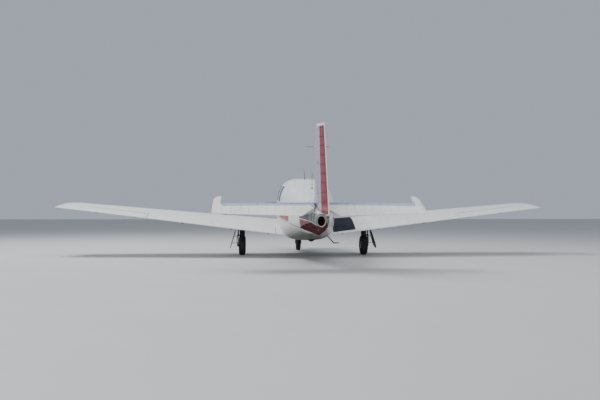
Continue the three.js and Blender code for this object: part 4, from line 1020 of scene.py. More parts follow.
def outside_and_ends(limit, front, back):
    """Chooses the first look for the skin and for the rims at two places along Y, and the second inside."""
    def choose(centres, normals):
        y = centres[:, 1]
        return np.where((nearness(centres) > limit) | (y > front - 0.002) | (y < back + 0.002), 0, 1)
    return choose


piece("tail_cone_skin", cone_form, [fuselage_look, primer_look], "airframe", "tail_cone",
      choose=outside_and_ends(0.8, cabin_back_y, cone_end_y))

fairing_form = cut(
    fuselage(fairing_start_y, fairing_end_y),
    fuselage(fairing_start_y + 0.001, fairing_end_y - 0.001, fairing_wall),
)
# The fairing's inside is near black: painted shade in the open tail end.
shade_black_look = plastic("painted_shade_black", (0.012, 0.012, 0.012), 0.9)
piece("tail_fairing_skin", fairing_form, [fuselage_look, shade_black_look], "tail_unit", "tail_fairing",
      choose=outside_and_ends(0.72, fairing_start_y, fairing_end_y))


# Cowl, with the engine's inlets, and its two flaps.

flap_inner, flap_outer, flap_front, flap_back, flap_gap = 0.205, 0.345, 1.905, 1.708, 0.010
pipe_x = 0.145
cowl_form = cut(
    fuselage(cowl_nose_y, firewall_y + seat_gap),
    fuselage(cowl_nose_y - 0.020, firewall_y - 0.001, cowl_skin),
    rod([0, 2.7, 0], [0, 2.9, 0], 0.075, 48),
)
inlet_cut = prism(rectangle(0.105, 0.215, -0.095, 0.045, 0.04), 2.74, 2.90, "xz")
cowl_flap_cut = box((flap_inner, flap_outer), (firewall_y - 0.01, flap_front), (-0.8, -0.25))
cowl_cut = cut(
    cowl_form, inlet_cut, inlet_cut.mirrored(), cowl_flap_cut, cowl_flap_cut.mirrored(),
    box((-0.1, 0.1), (firewall_y - 0.01, 1.99), (-0.8, -0.33)),
    rod([pipe_x, 1.9, -0.33], [pipe_x, 1.9, -0.7], 0.042, 32),
)
cowl_looks = [fuselage_look, bare_metal("cowl_inside", (0.45, 0.46, 0.42), 0.5)]
for name, low, high in (("cowl_upper", seat_gap, 0.8), ("cowl_lower", -0.8, 0)):
    half = common(cowl_cut, box((-0.8, 0.8), (1, 3), (low, high)))
    piece(name + "_skin", half, cowl_looks, "airframe", name, choose=outside_only(0.96))
cowl_flap_block = box((flap_inner + flap_gap, flap_outer - flap_gap), (flap_back, flap_front - flap_gap),
                      (-0.8, -0.25))
cowl_flap_form = common(cowl_form, cowl_flap_block)
both_sides("cowl_flap_{side}_skin", cowl_flap_form, cowl_looks, "cowl_flap_{side}", "cowl_flap_{side}",
           choose=outside_only(0.96))

# Aerofoil surfaces.

foil_parts = 0.5 * (1 - np.cos(np.linspace(0, np.pi, 30)))
trailing_edge = 0.004


def half_thickness(thickness, part):
    """Half an aerofoil's depth at a part of its chord: the usual root and quartic, with a blunt tail."""
    bow = 0.2969 * np.sqrt(part) - 0.126 * part - 0.3516 * part**2 + 0.2843 * part**3 - 0.1036 * part**4
    return 5 * thickness * bow + trailing_edge * part


def foil(thickness, bow):
    """The ring of an aerofoil as (part of the chord, height as a part of the chord): over the top from the
    nose and back below, bowed upwards by a parabola."""
    p = foil_parts
    half = half_thickness(np.asarray(thickness)[..., None], p)
    lift = 4 * np.asarray(bow)[..., None] * p * (1 - p)
    height = np.concatenate([lift + half, (lift - half)[..., :0:-1]], -1)
    return np.broadcast_to(np.concatenate([p, p[:0:-1]]), height.shape), height


half_span, root_chord, tip_chord = 5.5, 1.930, 1.020
wing_nose_y, wing_root_z, camber = 0.790, -0.434, 0.03
dihedral = math.radians(5.5)


def along_span(x, root, tip):
    """A value that runs straight from the root to the tip."""
    return root + (tip - root) * np.asarray(x) / half_span


def wing_chord(x):
    """The chord at a place along the span."""
    return along_span(x, root_chord, tip_chord)


# Columns: place along the span, how far the nose is drawn back, how far the tail is drawn forward, and the
# thickness as a part of the section's own.
wing_sections = np.array([
    [0.420, 0, 0, 1],
    [5.080, 0, 0, 1],
    [5.280, 0.025, 0, 0.9],
    [5.420, 0.095, 0.012, 0.68],
    [5.500, 0.260, 0.060, 0.25],
])


def wing_thickness(x):
    """The thickness at a place along the span, as a part of the chord."""
    return along_span(x, 0.15, 0.12)


def on_section(x, along, up):
    """Points at distances behind the nose and above the chord line, twisted and raised by the dihedral."""
    twist = np.radians(along_span(x, 2.5, 1.0))
    y = wing_nose_y - along * np.cos(twist) + up * np.sin(twist)
    z = wing_root_z + x * np.tan(dihedral) - along * np.sin(twist) + up * np.cos(twist)
    return np.stack(np.broadcast_arrays(x, y, z), -1)


def wing_rings(x):
    """Sections of the wing at places along the span."""
    back, forward, thin = between_rows(wing_sections, x).T
    part, height = foil(wing_thickness(x) * thin, camber * thin)
    chord = (wing_chord(x) - back - forward)[:, None]
    return on_section(x[:, None], back[:, None] + part * chord, height * chord)


def wing_point(x, part, surface):
    """A point of the wing at a part of the chord, on the upper (1) or lower (-1) skin."""
    lift = 4 * camber * part * (1 - part)
    up = (lift + surface * half_thickness(wing_thickness(x), part)) * wing_chord(x)
    return on_section(x, part * wing_chord(x), up)


tip_start = 5.08
span_stations = np.concatenate([np.linspace(0.42, tip_start, 24)[:-1],
                                tip_start + 0.42 * np.sin(np.linspace(0, np.pi / 2, 14))])
fuselage_all = fuselage(cowl_nose_y, cabin_back_y, -seat_gap)
whole_wing = cut(loft(wing_rings(span_stations)), fuselage_all)

# The wheel's square well and the slot for its leg, which runs outboard from it.
well_x, well_half, well_top = 0.945, 0.240, -0.266
slot_end, slot_half, slot_top = 1.435, 0.075, -0.300
well_outline = rectangle(well_x - well_half, well_x + well_half, -well_half, well_half, 0.05)
wells = join(
    prism(well_outline, -0.8, well_top, "xy"),
    box((well_x, slot_end), (-slot_half, slot_half), (-0.8, slot_top)),
)

# The flap lies behind a straight cut, and the aileron's nose is round about its hinge line.

flap = {"inner": 0.650, "outer": 3.450, "depth": 0.360, "axis": 0.330, "below": 0.030}
aileron = {"inner": 3.500, "outer": 4.950, "axis": 0.285, "below": 0.017, "gap": 0.008}


def wing_tail_y(x):
    """The straight trailing edge."""
    return wing_nose_y - wing_chord(x)


def flap_plan(inner_gap, outer_gap, nose_gap):
    """The flap's region in plan, drawn in at its ends and nose."""
    return prism([
        [flap["inner"] + inner_gap, wing_tail_y(flap["inner"]) + flap["depth"] - nose_gap],
        [flap["inner"] + inner_gap, -2.0],
        [flap["outer"] - outer_gap, -2.0],
        [flap["outer"] - outer_gap, wing_tail_y(flap["outer"]) + flap["depth"] - nose_gap],
    ], -1.0, 0.5, "xy")


def hinge_line(surface):
    """A line below the lower skin, a set distance ahead of the trailing edge."""
    ends = []
    for x in (surface["inner"], surface["outer"]):
        ends.append(wing_point(x, 1 - surface["axis"] / wing_chord(x), -1) - [0, 0, surface["below"]])
    return ends


def behind_line(line, nose_radius, height, overhang=0.2):
    """The region behind a hinge line, with a round nose about it."""
    length = np.linalg.norm(line[1] - line[0])
    form = join(
        rod([-overhang, 0, 0], [length + overhang, 0, 0], nose_radius, 40),
        box((-overhang, length + overhang), (-1.5, 0), (-height, height)),
    )
    return form.turned(on_line(line, 0))


flap_line, aileron_line = hinge_line(flap), hinge_line(aileron)
aileron_part = 1 - aileron["axis"] / wing_chord(aileron["inner"])
aileron_above = wing_point(aileron["inner"], aileron_part, 1)
aileron_below = wing_point(aileron["inner"], aileron_part, -1)
aileron_nose = (aileron_above - aileron_below)[2]
aileron_nose += aileron["below"]


def aileron_region(gap):
    """The aileron's space, grown by a gap."""
    ends = box((aileron["inner"] - gap, aileron["outer"] + gap), (-2, 1), (-1, 1))
    return common(behind_line(aileron_line, aileron_nose + gap, 0.4, 0.3), ends)


def on_line(line, part):
    """A frame at a part of a hinge line: X along it and Y ahead."""
    run = line[1] - line[0]
    return frame_at(line[0] + run * part, run, ahead)


def hinge_plate(outline, shift):
    """A flat plate across a hinge line, its outline in millimetres forwards and up from the line."""
    half_width = 0.004
    return prism(np.array(outline) / 1000, shift - half_width, shift + half_width)


def hinge_bolt():
    """A hexagonal bolt with a head and a nut, across the plates."""
    radius, head, start, end, washer = 0.005, 0.0095, -0.008, 0.016, 0.004
    profile = [(head, start), (head, start + washer), (radius, start + washer),
               (radius, end - washer), (head, end - washer), (head, end)]
    return lathe(profile, origin, starboard, 6)


arm_reach = (aileron_nose + aileron["gap"]) * 1000 + 4
flap_arm = [[-12, -7], [-7, -13], [60, -10], [150, 18], [150, 60], [34, 60], [34, 15], [0, 13], [-12, 7]]
flap_lug = [[-140, 18], [-20, -12], [0, -13], [12, -7], [12, 48], [-140, 40]]
aileron_arm = [[-12, -7], [-7, -13], [arm_reach, -34], [arm_reach + 80, 4], [arm_reach + 80, 40],
               [arm_reach, 40], [arm_reach - 2, -12], [arm_reach - 28, -12], [14, 2], [0, 8], [-12, 4]]
aileron_lug = [[-45, 24], [-12, -7], [0, -12], [12, -7], [30, 24]]

wing_look = wing_paint()
bracket_look = bare_metal("bracket_steel", (0.22, 0.22, 0.23), 0.45)
jack_x, jack_half = 2.4, 0.022
jack = wing_point(jack_x, 0.4, -1)
jack_pad = box((jack_x - jack_half, jack_x + jack_half), (jack[1] - jack_half, jack[1] + jack_half),
               (jack[2] - 0.014, jack[2] + 0.02))
wing_body = cut(whole_wing, wells, flap_plan(0, 0, 0), aileron_region(aileron["gap"]))


def wing_looks(centres, normals):
    """Paint on the skins, primer on the walls and roofs of the wells."""
    x, y, z = np.abs(centres[:, 0]), np.abs(centres[:, 1]), centres[:, 2]
    edge = 0.002
    well = (np.abs(x - well_x) < well_half + edge) & (y < well_half + edge)
    slot = (y < slot_half + edge) & (x > well_x) & (x < slot_end + edge)
    roof = (np.abs(z - well_top) < edge) | (np.abs(z - slot_top) < edge)
    return np.where((well | slot) & (z < well_top + edge) & ((np.abs(normals[:, 2]) < 0.5) | roof), 1, 0)


splice_x = 1.480
both_sides("wing_root_{side}_skin", common(wing_body, box((0, splice_x), (-2, 1), (-1, 0.5))),
           [wing_look, primer_look], "airframe", "wing_root_{side}", choose=wing_looks)
outer_wing = join(common(wing_body, box((splice_x + seat_gap, 6), (-2, 1), (-1, 1))), jack_pad)
both_sides("wing_{side}_skin", outer_wing, [wing_look, primer_look], "airframe", "wing_{side}",
           choose=wing_looks)
for name, surface, line, places, arm, lug in (
    ("flap", flap, flap_line, (0.800, 1.610, 2.690), flap_arm, flap_lug),
    ("aileron", aileron, aileron_line, (3.780, 4.620), aileron_arm, aileron_lug),
):
    moving = name + "_{side}"
    for part, form, body in (
        ("arm", hinge_plate(arm, 0), "airframe"),
        ("lug", hinge_plate(lug, 0.0086), moving),
        ("bolt", hinge_bolt(), moving),
    ):
        for i, x in enumerate(places):
            place = on_line(line, (x - surface["inner"]) / (surface["outer"] - surface["inner"]))
            both_sides(f"{name}_{part}_{{side}}_{i + 1}", form.turned(place), bracket_look, body)
flap_form = common(whole_wing, flap_plan(0.010, 0.020, 0.008))
both_sides("flap_{side}_skin", flap_form, wing_look, "flap_{side}", "flap_{side}")
both_sides("aileron_{side}_skin", common(whole_wing, aileron_region(0)), wing_look, "aileron_{side}",
           "aileron_{side}")

# Tail: the fin and rudder, the stabiliser and elevators, with hinges inside their noses.

tail_pivot_y, tail_pivot_z = -3.050, 0.070
# Columns: height, place of the nose, place of the tail, thickness.
fin_sections = np.array([
    [0.100, -3.048, -4.345, 0.100],
    [1.640, -3.079, -3.812, 0.056],
    [1.676, -3.100, -3.806, 0.040],
])
rudder_line = [np.array([0, -3.880, 0.150]), np.array([0, -3.500, 1.680])]
rudder_nose, rudder_gap, rudder_rest = 0.034, 0.008, 13.5
rudder_foot = [[-3.600, 0.290], [-4.080, 0.178], [-4.600, 0.150], [-4.600, -0.200], [-3.600, -0.200]]
stab_z = 0.281
# Columns: place across, place of the nose, place of the tail, thickness.
stab_sections = np.array([
    [0.056, -3.083, -4.102, 0.088],
    [1.680, -3.267, -3.987, 0.060],
    [1.720, -3.276, -3.985, 0.055],
    [1.750, -3.300, -3.982, 0.046],
    [1.772, -3.333, -3.974, 0.033],
    [1.790, -3.375, -3.962, 0.018],
])
elevator_y, rib_spacing = -3.660, 0.148
elevator_line = [np.array([0, elevator_y, stab_z]), np.array([1.790, elevator_y, stab_z])]
elevator_nose, elevator_gap, elevator_droop = 0.033, 0.011, 21.0
horn_inner = 1.663
torque_tube = 0.014


def straight_rows(table, at):
    """Rows of a table at new places, on straight lines between them."""
    at = np.atleast_1d(at)
    return np.stack([at] + [np.interp(at, table[:, 0], table[:, k]) for k in range(1, table.shape[1])], -1)


def surface_rings(table, at, upright):
    """Aerofoil sections from rows of (place, nose, tail, thickness), across a stabiliser or up a fin."""
    place, nose, tail, thick = straight_rows(table, at).T[:, :, None]
    chord = nose - tail
    part, height = foil((thick / chord)[:, 0], np.zeros(len(place)))
    y, off = nose - part * chord, height * chord
    place = np.broadcast_to(place, y.shape)
    return np.stack([off, y, place] if upright else [place, y, stab_z + off], -1)


def slot_hinge(line, part, nose_radius):
    """A lug from the fixed part into a slot of the moving one, and the pin through it."""
    place = on_line(line, part)
    foot = nose_radius + 0.036
    plate = np.concatenate([arc(0.010, math.pi / 2, 3 * math.pi / 2, 12), [[foot, -0.009], [foot, 0.009]]])
    lug = prism(plate, -0.004, 0.004).turned(place)
    slot = box((-0.010, 0.010), (-0.018, nose_radius + 0.002), (-0.2, 0.2)).turned(place)
    pin = rod([-0.017, 0, 0], [0.017, 0, 0], 0.004, 16).turned(place)
    return lug, slot, pin


def turn_about(line, degrees):
    """A turn about a line, as a 4x4 matrix."""
    start = Vector(line[0])
    turn = Matrix.Rotation(math.radians(degrees), 4, Vector(line[1]) - start)
    return Matrix.Translation(start) @ turn @ Matrix.Translation(-start)


fin_stations = np.concatenate([np.linspace(0.1, 1.64, 14), [1.655, 1.668, 1.676]])
fin_form = loft(surface_rings(fin_sections, fin_stations, True))
rudder_hinges = [slot_hinge(rudder_line, part, rudder_nose) for part in (0.22, 0.56, 0.92)]
rudder_lugs, rudder_slots, rudder_pins = zip(*rudder_hinges)
fairing_grown = fuselage(fairing_start_y + 0.002, fairing_end_y - 0.002, -seat_gap)
# The fin is white; its pale purple colour is painted shade.
fin_look = tail_paint("fin_paint", painted_shade_purple, "height", 0.36)
tube_hole = rod([-0.2, elevator_y, stab_z], [0.2, elevator_y, stab_z], torque_tube + 0.006)
fin_cut = cut(fin_form, behind_line(rudder_line, rudder_nose + rudder_gap, 0.3), fairing_grown, tube_hole)
piece("fin_skin", fin_cut, fin_look, "tail_unit", "fin")
for i, lug in enumerate(rudder_lugs):
    piece(f"rudder_lug_{i + 1}", lug, bracket_look, "tail_unit")
rudder_form = cut(
    common(fin_form, behind_line(rudder_line, rudder_nose, 0.3)),
    prism(rudder_foot, -0.5, 0.5),
    *rudder_slots,
)
rudder_look = rudder_paint()


def skin_beads(table, place, start_back, end_back, upright):
    """Beads on both skins of an aerofoil at one place, from one distance ahead of its tail to another."""
    lift, radius, steps = 0.0004, 0.0032, 14
    row = straight_rows(table, place)[0]
    chord = row[1] - row[2]
    part = 1 - np.linspace(start_back, end_back, steps) / chord
    half = half_thickness(row[3] / chord, part) * chord + lift
    fade = np.sin(np.linspace(0.15, math.pi - 0.15, steps)) ** 0.4
    y, level = row[1] - part * chord, np.full(steps, float(place))
    beads = []
    for off in (half, -half):
        path = np.stack([off, y, level] if upright else [level, y, stab_z + off], -1)
        beads.append(tube(path, radius * fade, 10))
    return beads


rudder_beads = []
for height in np.arange(0.36, 1.60, rudder_rib_spacing):
    hinge = rudder_line[0][1] + (height - rudder_line[0][2]) * 0.3800 / 1.530
    tail = straight_rows(fin_sections, height)[0][2]
    rudder_beads += skin_beads(fin_sections, height, hinge - tail - 0.025, 0.030, True)
parked = turn_about(rudder_line, rudder_rest)
piece("rudder_skin", rudder_form.turned(parked), rudder_look, "rudder", "rudder")
piece("rudder_beads", together(rudder_beads).turned(parked), rudder_look, "rudder")
for i, pin in enumerate(rudder_pins):
    piece(f"rudder_pin_{i + 1}", pin.turned(parked), bracket_look, "rudder")

stab_stations = np.concatenate([np.linspace(0.056, 1.68, 12), [1.70, 1.72, 1.74, 1.755, 1.770, 1.782, 1.790]])
stab_form = loft(surface_rings(stab_sections, stab_stations, False))
elevator_hinges = [slot_hinge(elevator_line, part, elevator_nose) for part in (0.26, 0.58, 0.88)]
elevator_slots = [slot for lug, slot, pin in elevator_hinges]
stab_cut = cut(
    stab_form,
    fairing_grown,
    box((-0.050, 0.050), (-4.2, -3.0), (0, 0.6)),
    behind_line(elevator_line, elevator_nose + elevator_gap, 0.3),
    box((horn_inner - elevator_gap, 2.0), (-4.4, -3.0), (0, 0.6)),
)
# The stabiliser is white; its light blue is a painted sky reflection.
stab_look = tail_paint("stabilizer_paint", sky_reflection_blue, "span", 0.30)
both_sides("stabilizer_{side}_skin", stab_cut, stab_look, "tail_unit", "stabilizer_{side}")
elevator_form = cut(
    common(stab_form, join(
        behind_line(elevator_line, elevator_nose, 0.3),
        box((horn_inner, 2.0), (-4.4, -3.0), (0, 0.6)),
    )),
    prism([[-0.009, -3.4], [0.092, -3.4], [0.092, -3.7], [0.078, -3.8], [0.345, -4.11], [0.345, -4.4],
           [-0.009, -4.4]], 0, 0.6, "xy"),
    *elevator_slots,
)
elevator_beads = []
for across in np.arange(0.44, 1.64, rib_spacing):
    tail = straight_rows(stab_sections, across)[0][2]
    elevator_beads += skin_beads(stab_sections, across, elevator_y - tail - 0.03, 0.028, False)
elevator_look = tail_paint("elevator_paint", white, "span", rib_spacing)
drooped = turn_about(elevator_line, elevator_droop)
both_sides("elevator_{side}_skin", elevator_form.turned(drooped), elevator_look, "elevators",
           "elevator_{side}")
both_sides("elevator_{side}_beads", together(elevator_beads).turned(drooped), elevator_look, "elevators")
# The two halves of the torque tube meet at the middle without touching.
cross_tube = rod([0.0002, elevator_y, stab_z], [0.180, elevator_y, stab_z], torque_tube)
both_sides("elevator_tube_{side}", cross_tube, bracket_look, "elevators")
for i, (lug, slot, pin) in enumerate(elevator_hinges):
    both_sides(f"elevator_lug_{{side}}_{i + 1}", lug, bracket_look, "tail_unit")
    both_sides(f"elevator_pin_{{side}}_{i + 1}", pin.turned(drooped), bracket_look, "elevators")

# The tail cone's closing frame carries the pivot's lugs; the fairing carries its pin.

lug_outline = np.concatenate([arc(0.032, math.pi / 2, 3 * math.pi / 2, 20),
                              [[0.0825, -0.032], [0.0825, 0.032]]])
for name, side in sides_of:
    lug = prism(lug_outline, side * 0.080 - 0.007, side * 0.080 + 0.007).moved(0, tail_pivot_y, tail_pivot_z)
    lug = cut(lug, rod([-0.15, tail_pivot_y, tail_pivot_z], [0.15, tail_pivot_y, tail_pivot_z], 0.0103, 32))
    piece(f"trim_lug_{name}", lug, bracket_look, "airframe")

# Wheels: tyres with tread grooves, rims with bolts, and brakes.

main_axle = np.array([1.390, 0.0, main_axle_z])
nose_axle_y = 1.820
nose_axle = np.array([0.0, nose_axle_y, (0.180 - thrust_height - nose_axle_y * tilt_sin) / tilt_cos])
main_tyre = {"radius": 0.222, "width": 0.155, "bead": 0.085, "rim": 0.120, "groove": 0.0045}
nose_tyre = {"radius": 0.180, "width": 0.120, "bead": 0.068, "rim": 0.092, "groove": 0.0035}


def tyre_form(tyre):
    """A tyre's section turned about its axle: round shoulders, four grooves round the tread, beaded feet."""
    half, bead = tyre["width"] / 2, tyre["rim"] / 2 - 0.006
    rise = tyre["radius"] - tyre["bead"]
    side = [(bead, 0.0), (bead + 0.001, 0.06), (bead - 0.001, 0.14), (half * 0.90, 0.26), (half, 0.45),
            (half * 0.995, 0.58), (half * 0.95, 0.72), (half * 0.87, 0.83), (half * 0.76, 0.92),
            (half * 0.64, 0.965)]
    right = curve([(a, tyre["bead"] + rise * b) for a, b in side], 40)
    depth, groove = tyre["groove"], 0.0035
    tread = []
    for centre in (0.50, 0.17):
        at = half * centre
        top = tyre["radius"] - 0.0022 * (centre / 0.5) ** 2
        tread += [(at + groove + 0.001, top), (at + groove, top - 0.0006), (at + groove * 0.5, top - depth),
                  (at - groove * 0.5, top - depth), (at - groove, top - 0.0006), (at - groove - 0.001, top)]
    outer = np.concatenate([right, tread, [(0.0, tyre["radius"])]])
    left = outer[-2::-1] * [-1, 1]
    profile = np.concatenate([outer, left])
    return lathe(profile[:, ::-1], origin, starboard, 96, closed=True)


def wheel_form(tyre, bore, hub_half):
    """A cast rim: flanges, a dished web each side and a hub, turned about the axle."""
    half, seat = tyre["rim"] / 2, tyre["bead"] - seat_gap
    right = [(hub_half, bore), (hub_half, bore + 0.014), (hub_half - 0.003, bore + 0.017),
             (0.020, bore + 0.022), (0.014, bore + 0.028), (0.014, seat - 0.026),
             (0.022, seat - 0.016), (half - 0.012, seat - 0.011),
             (half - 0.004, seat - 0.010), (half - 0.001, seat - 0.006), (half, seat)]
    profile = np.array(right + [(-a, r) for a, r in right[::-1]])
    return lathe(profile[:, ::-1], origin, starboard, 72, closed=True)


def ring_of_bolts(radius, count, size, end):
    """Hexagonal bolt heads on a circle about X, on both faces of a wheel."""
    start = 0.012
    profile = [(size, start), (size, end - size * 0.25), (size * 0.8, end)]
    bolts = together([lathe(profile, (0, radius * math.cos(a), radius * math.sin(a)), starboard, 6)
                      for a in full_turn(count)])
    return bolts + bolts.mirrored()


rubber_look = rubber("tyre_rubber")
cast_look = bare_metal("cast_magnesium", (0.50, 0.51, 0.52), 0.42)
steel_look = bare_metal("plated_steel", (0.42, 0.41, 0.38), 0.32)
disc_look = bare_metal("brake_disc", (0.33, 0.31, 0.29), 0.3, (1, 6, 6))
black_look = enamel("black_enamel", (0.025, 0.025, 0.028), 0.4)
grey_look = enamel("grey_enamel", (0.30, 0.31, 0.32), 0.4)


valve = tube([(0.018, 0, 0.060), (0.030, 0, 0.063), (0.040, 0, 0.064)], 0.0028)
disc_profile = [(0.050, 0.0150), (0.0755, 0.0150), (0.0755, 0.0215), (0.050, 0.0215)]
for name, form, look, node in (
    ("main_tyre_{side}_rubber", tyre_form(main_tyre), rubber_look, "main_tyre_{side}"),
    ("main_rim_{side}", wheel_form(main_tyre, 0.0183, 0.052), cast_look, "main_wheel_{side}"),
    ("main_rim_bolts_{side}", ring_of_bolts(0.052, 6, 0.0055, 0.0235), steel_look, ()),
    ("brake_disc_{side}", lathe(disc_profile, origin, (-1, 0, 0), 72, closed=True), disc_look, ()),
    ("main_valve_{side}", valve, black_look, ()),
):
    both_sides(name, form.moved(*main_axle), look, "main_wheel_{side}", node)
for name, form, look, node in (
    ("nose_tyre_rubber", tyre_form(nose_tyre), rubber_look, "nose_tyre"),
    ("nose_rim", wheel_form(nose_tyre, 0.0123, 0.046), cast_look, "nose_wheel"),
    ("nose_rim_bolts", ring_of_bolts(0.040, 5, 0.005, 0.023), steel_look, ()),
):
    piece(name, form.moved(*nose_axle), look, "nose_wheel", node)

# Main legs with their rubber discs, links and brake lines.

leg_x = main_axle[0]
upper_plate, stack_top, stack_bottom, lower_plate = -0.408, -0.418, -0.553, -0.562
arm_inner, arm_outer = leg_x + 0.086, leg_x + 0.108


def leg_form():
    """The forged leg: trunnion, two plates round the discs, and an arm down to the axle."""
    front = [[0.048, -0.545], [0.044, -0.620], [0.032, -0.770], [0.034, -0.800], [0.018, -0.828]]
    back = [[-y, z] for y, z in front[::-1]]
    arm = rounded([back[-1], *front, *back[:-1]], 0.012)
    lightening = []
    for low, high in ((-0.755, -0.700), (-0.685, -0.600)):
        outline = rounded([[-0.022, low], [0.022, low], [0.026, high], [-0.026, high]], 0.014)
        lightening.append(prism(outline, arm_outer - 0.007, arm_outer + 0.01))
    post_profile = [(0.030, 0), (0.036, 0.012), (0.030, 0.026), (0.030, 0.068)]
    post = lathe(post_profile, (leg_x, 0, -0.413), upwards, 32)
    top = lathe([(0.066, 0), (0.066, 0.007), (0.063, 0.010)], (leg_x, 0, stack_top), upwards, 48)
    foot = lathe([(0.063, 0), (0.066, 0.003), (0.066, 0.009)], (leg_x, 0, lower_plate), upwards, 48)
    # A saddle fills the space down to the tyre, and a tube beside the discs carries the arm.
    crown = main_tyre["radius"] + 0.0075
    top_edge = lower_plate + 0.001
    lower_edge = arc(crown, math.pi / 2 - 0.33, math.pi / 2 + 0.33, 15) + [0, main_axle_z]
    saddle = np.concatenate([[[-0.060, top_edge], [0.060, top_edge]], lower_edge])
    return join(
        prism(saddle, leg_x - 0.055, arm_inner + 0.002),
        rod([leg_x + 0.010, 0, -0.352], [leg_x + 0.079, 0, -0.400], 0.014),
        rod([leg_x + 0.079, 0, -0.392], [leg_x + 0.096, 0, -0.570], 0.014),
        rod([leg_x, -0.0747, -0.345], [leg_x, 0.0747, -0.345], 0.022, 32),
        post, top, foot,
        rod([leg_x, 0, lower_plate], [leg_x, 0, upper_plate], 0.012),
        box((leg_x, arm_outer), (-0.048, 0.048), (lower_plate, stack_bottom)),
        cut(prism(arm, arm_inner, arm_outer), *lightening),
        rod([leg_x - 0.056, 0, main_axle_z], [arm_outer, 0, main_axle_z], 0.018, 32),
        rod([leg_x + 0.0523, 0, main_axle_z], [arm_inner + 0.002, 0, main_axle_z], 0.032, 32),
    )


# The legs' black is painted shade of legs that stand in the wing's shadow.
both_sides("main_leg_{side}_forging", leg_form(), black_look, "airframe", "main_leg_{side}")
disc_count, disc_bore, disc_radius, waist = 4, 0.0124, 0.054, 0.050
disc_height = (stack_top - stack_bottom - 2 * seat_gap) / disc_count
disc_points = [(disc_bore, 0.0)]
for i in range(disc_count):
    foot = i * disc_height
    for a in np.linspace(-math.pi / 2, math.pi / 2, 9):
        disc_points.append((disc_radius + 0.008 * math.cos(a),
                            foot + (disc_height - 0.004) * (0.5 + 0.5 * math.sin(a))))
    if i < disc_count - 1:
        disc_points += [(waist, foot + disc_height - 0.003), (waist, foot + disc_height - 0.001)]
disc_points[1] = (disc_radius, 0.0)
disc_points.append((disc_bore, disc_points[-1][1]))
discs = lathe(disc_points, (leg_x, 0, stack_bottom + seat_gap), upwards, 64, closed=True)
both_sides("shock_discs_{side}_rubber", discs, rubber("disc_rubber"), "airframe", "shock_discs_{side}")
caliper = join(
    box((leg_x - 0.040, leg_x + 0.004), (-0.078, -0.052), (main_axle_z + 0.012, main_axle_z + 0.062)),
    rod([leg_x - 0.052, -0.065, main_axle_z + 0.037], [leg_x - 0.030, -0.065, main_axle_z + 0.037], 0.017),
)
both_sides("brake_caliper_{side}", caliper, cast_look, "airframe")
line_path = curve([
    (arm_outer + 0.004, 0.020, -0.560), (arm_outer + 0.016, 0.034, -0.640),
    (arm_outer + 0.020, 0.030, -0.720), (arm_outer + 0.010, 0.010, -0.770),
    (arm_outer + 0.004, 0.004, -0.786),
], 24)
both_sides("brake_line_{side}", tube(line_path, 0.0045), black_look, "airframe")
grease_profile = [(0.006, 0), (0.006, 0.006), (0.003, 0.008), (0.003, 0.014)]
grease = lathe(grease_profile, (arm_outer, 0, main_axle_z), starboard, 6)
nut = lathe([(0.024, 0), (0.024, 0.008), (0.020, 0.012)], (arm_outer - 0.001, 0, main_axle_z), starboard, 6)
both_sides("axle_nut_{side}", join(nut, grease.moved(0.009)), steel_look, "airframe")

# The main legs' doors, splayed on two links.

door_top, door_foot = np.array([1.543, -0.457]), np.array([1.662, -0.857])
door_slope = (door_foot[0] - door_top[0]) / (door_top[1] - door_foot[1])
door_edge = rounded([
    [-0.110, 0], [0.110, 0], [0.150, -0.130], [0.185, -0.300], [0.150, -0.395], [0.060, -0.417],
    [-0.060, -0.417], [-0.150, -0.395], [-0.185, -0.300], [-0.150, -0.130]], 0.03)
door_place = np.eye(4)
door_place[:3, 0] = np.array([1, 0, door_slope]) / math.hypot(1, door_slope)
door_place[:3, 2] = np.array([-door_slope, 0, 1]) / math.hypot(1, door_slope)
door_place[:3, 3] = (door_top[0], 0, door_top[1])
door_plate = prism(door_edge, 0, 0.006).turned(door_place)
stiffener_outline = [[-0.014, -0.03], [0.014, -0.03], [0.014, -0.37], [-0.014, -0.37]]
stiffener = prism(rounded(stiffener_outline, 0.008), -0.008, 0.001)
stiffeners = [stiffener.moved(0, y).turned(door_place) for y in (-0.075, 0.075)]
links = []
link_profile = [(0.011, 0), (0.011, 0.010), (0.007, 0.014), (0.007, 0.10)]
for z in (-0.590, -0.745):
    end = [door_top[0] + (door_top[1] - z) * door_slope + 0.003, 0, z]
    links.append(lathe(link_profile, [arm_outer + seat_gap, 0, z], starboard, 20))
    links.append(rod([arm_outer + 0.05, 0, z], end, 0.007, 20))
# The doors' inner faces are dark: partly dirt, partly painted shade.
door_inside_dirt_and_shade = enamel("gear_door_inside", (0.035, 0.034, 0.033), 0.6, 0.4)


def outboard_only(centres, normals):
    """Paint on the faces that look outboard, and on the others a dark colour that is partly dirt and partly
    painted shade.
    """
    return np.where(np.sign(centres[:, 0]) * normals[:, 0] > 0.5, 0, 1)


both_sides("main_gear_door_{side}_panel", join(door_plate, *stiffeners), [wing_look, door_inside_dirt_and_shade], "airframe",
           "main_gear_door_{side}", choose=outboard_only)
both_sides("gear_door_links_{side}", join(*links), steel_look, "airframe")
door_edge = np.concatenate([door_edge, door_edge[:1]])
door_seal = tube(np.column_stack([np.full(len(door_edge), 0.003), door_edge]), 0.0065, 10).turned(door_place)
both_sides("gear_door_seal_{side}", door_seal, rubber("gear_door_seal"), "airframe")

# Nose leg.

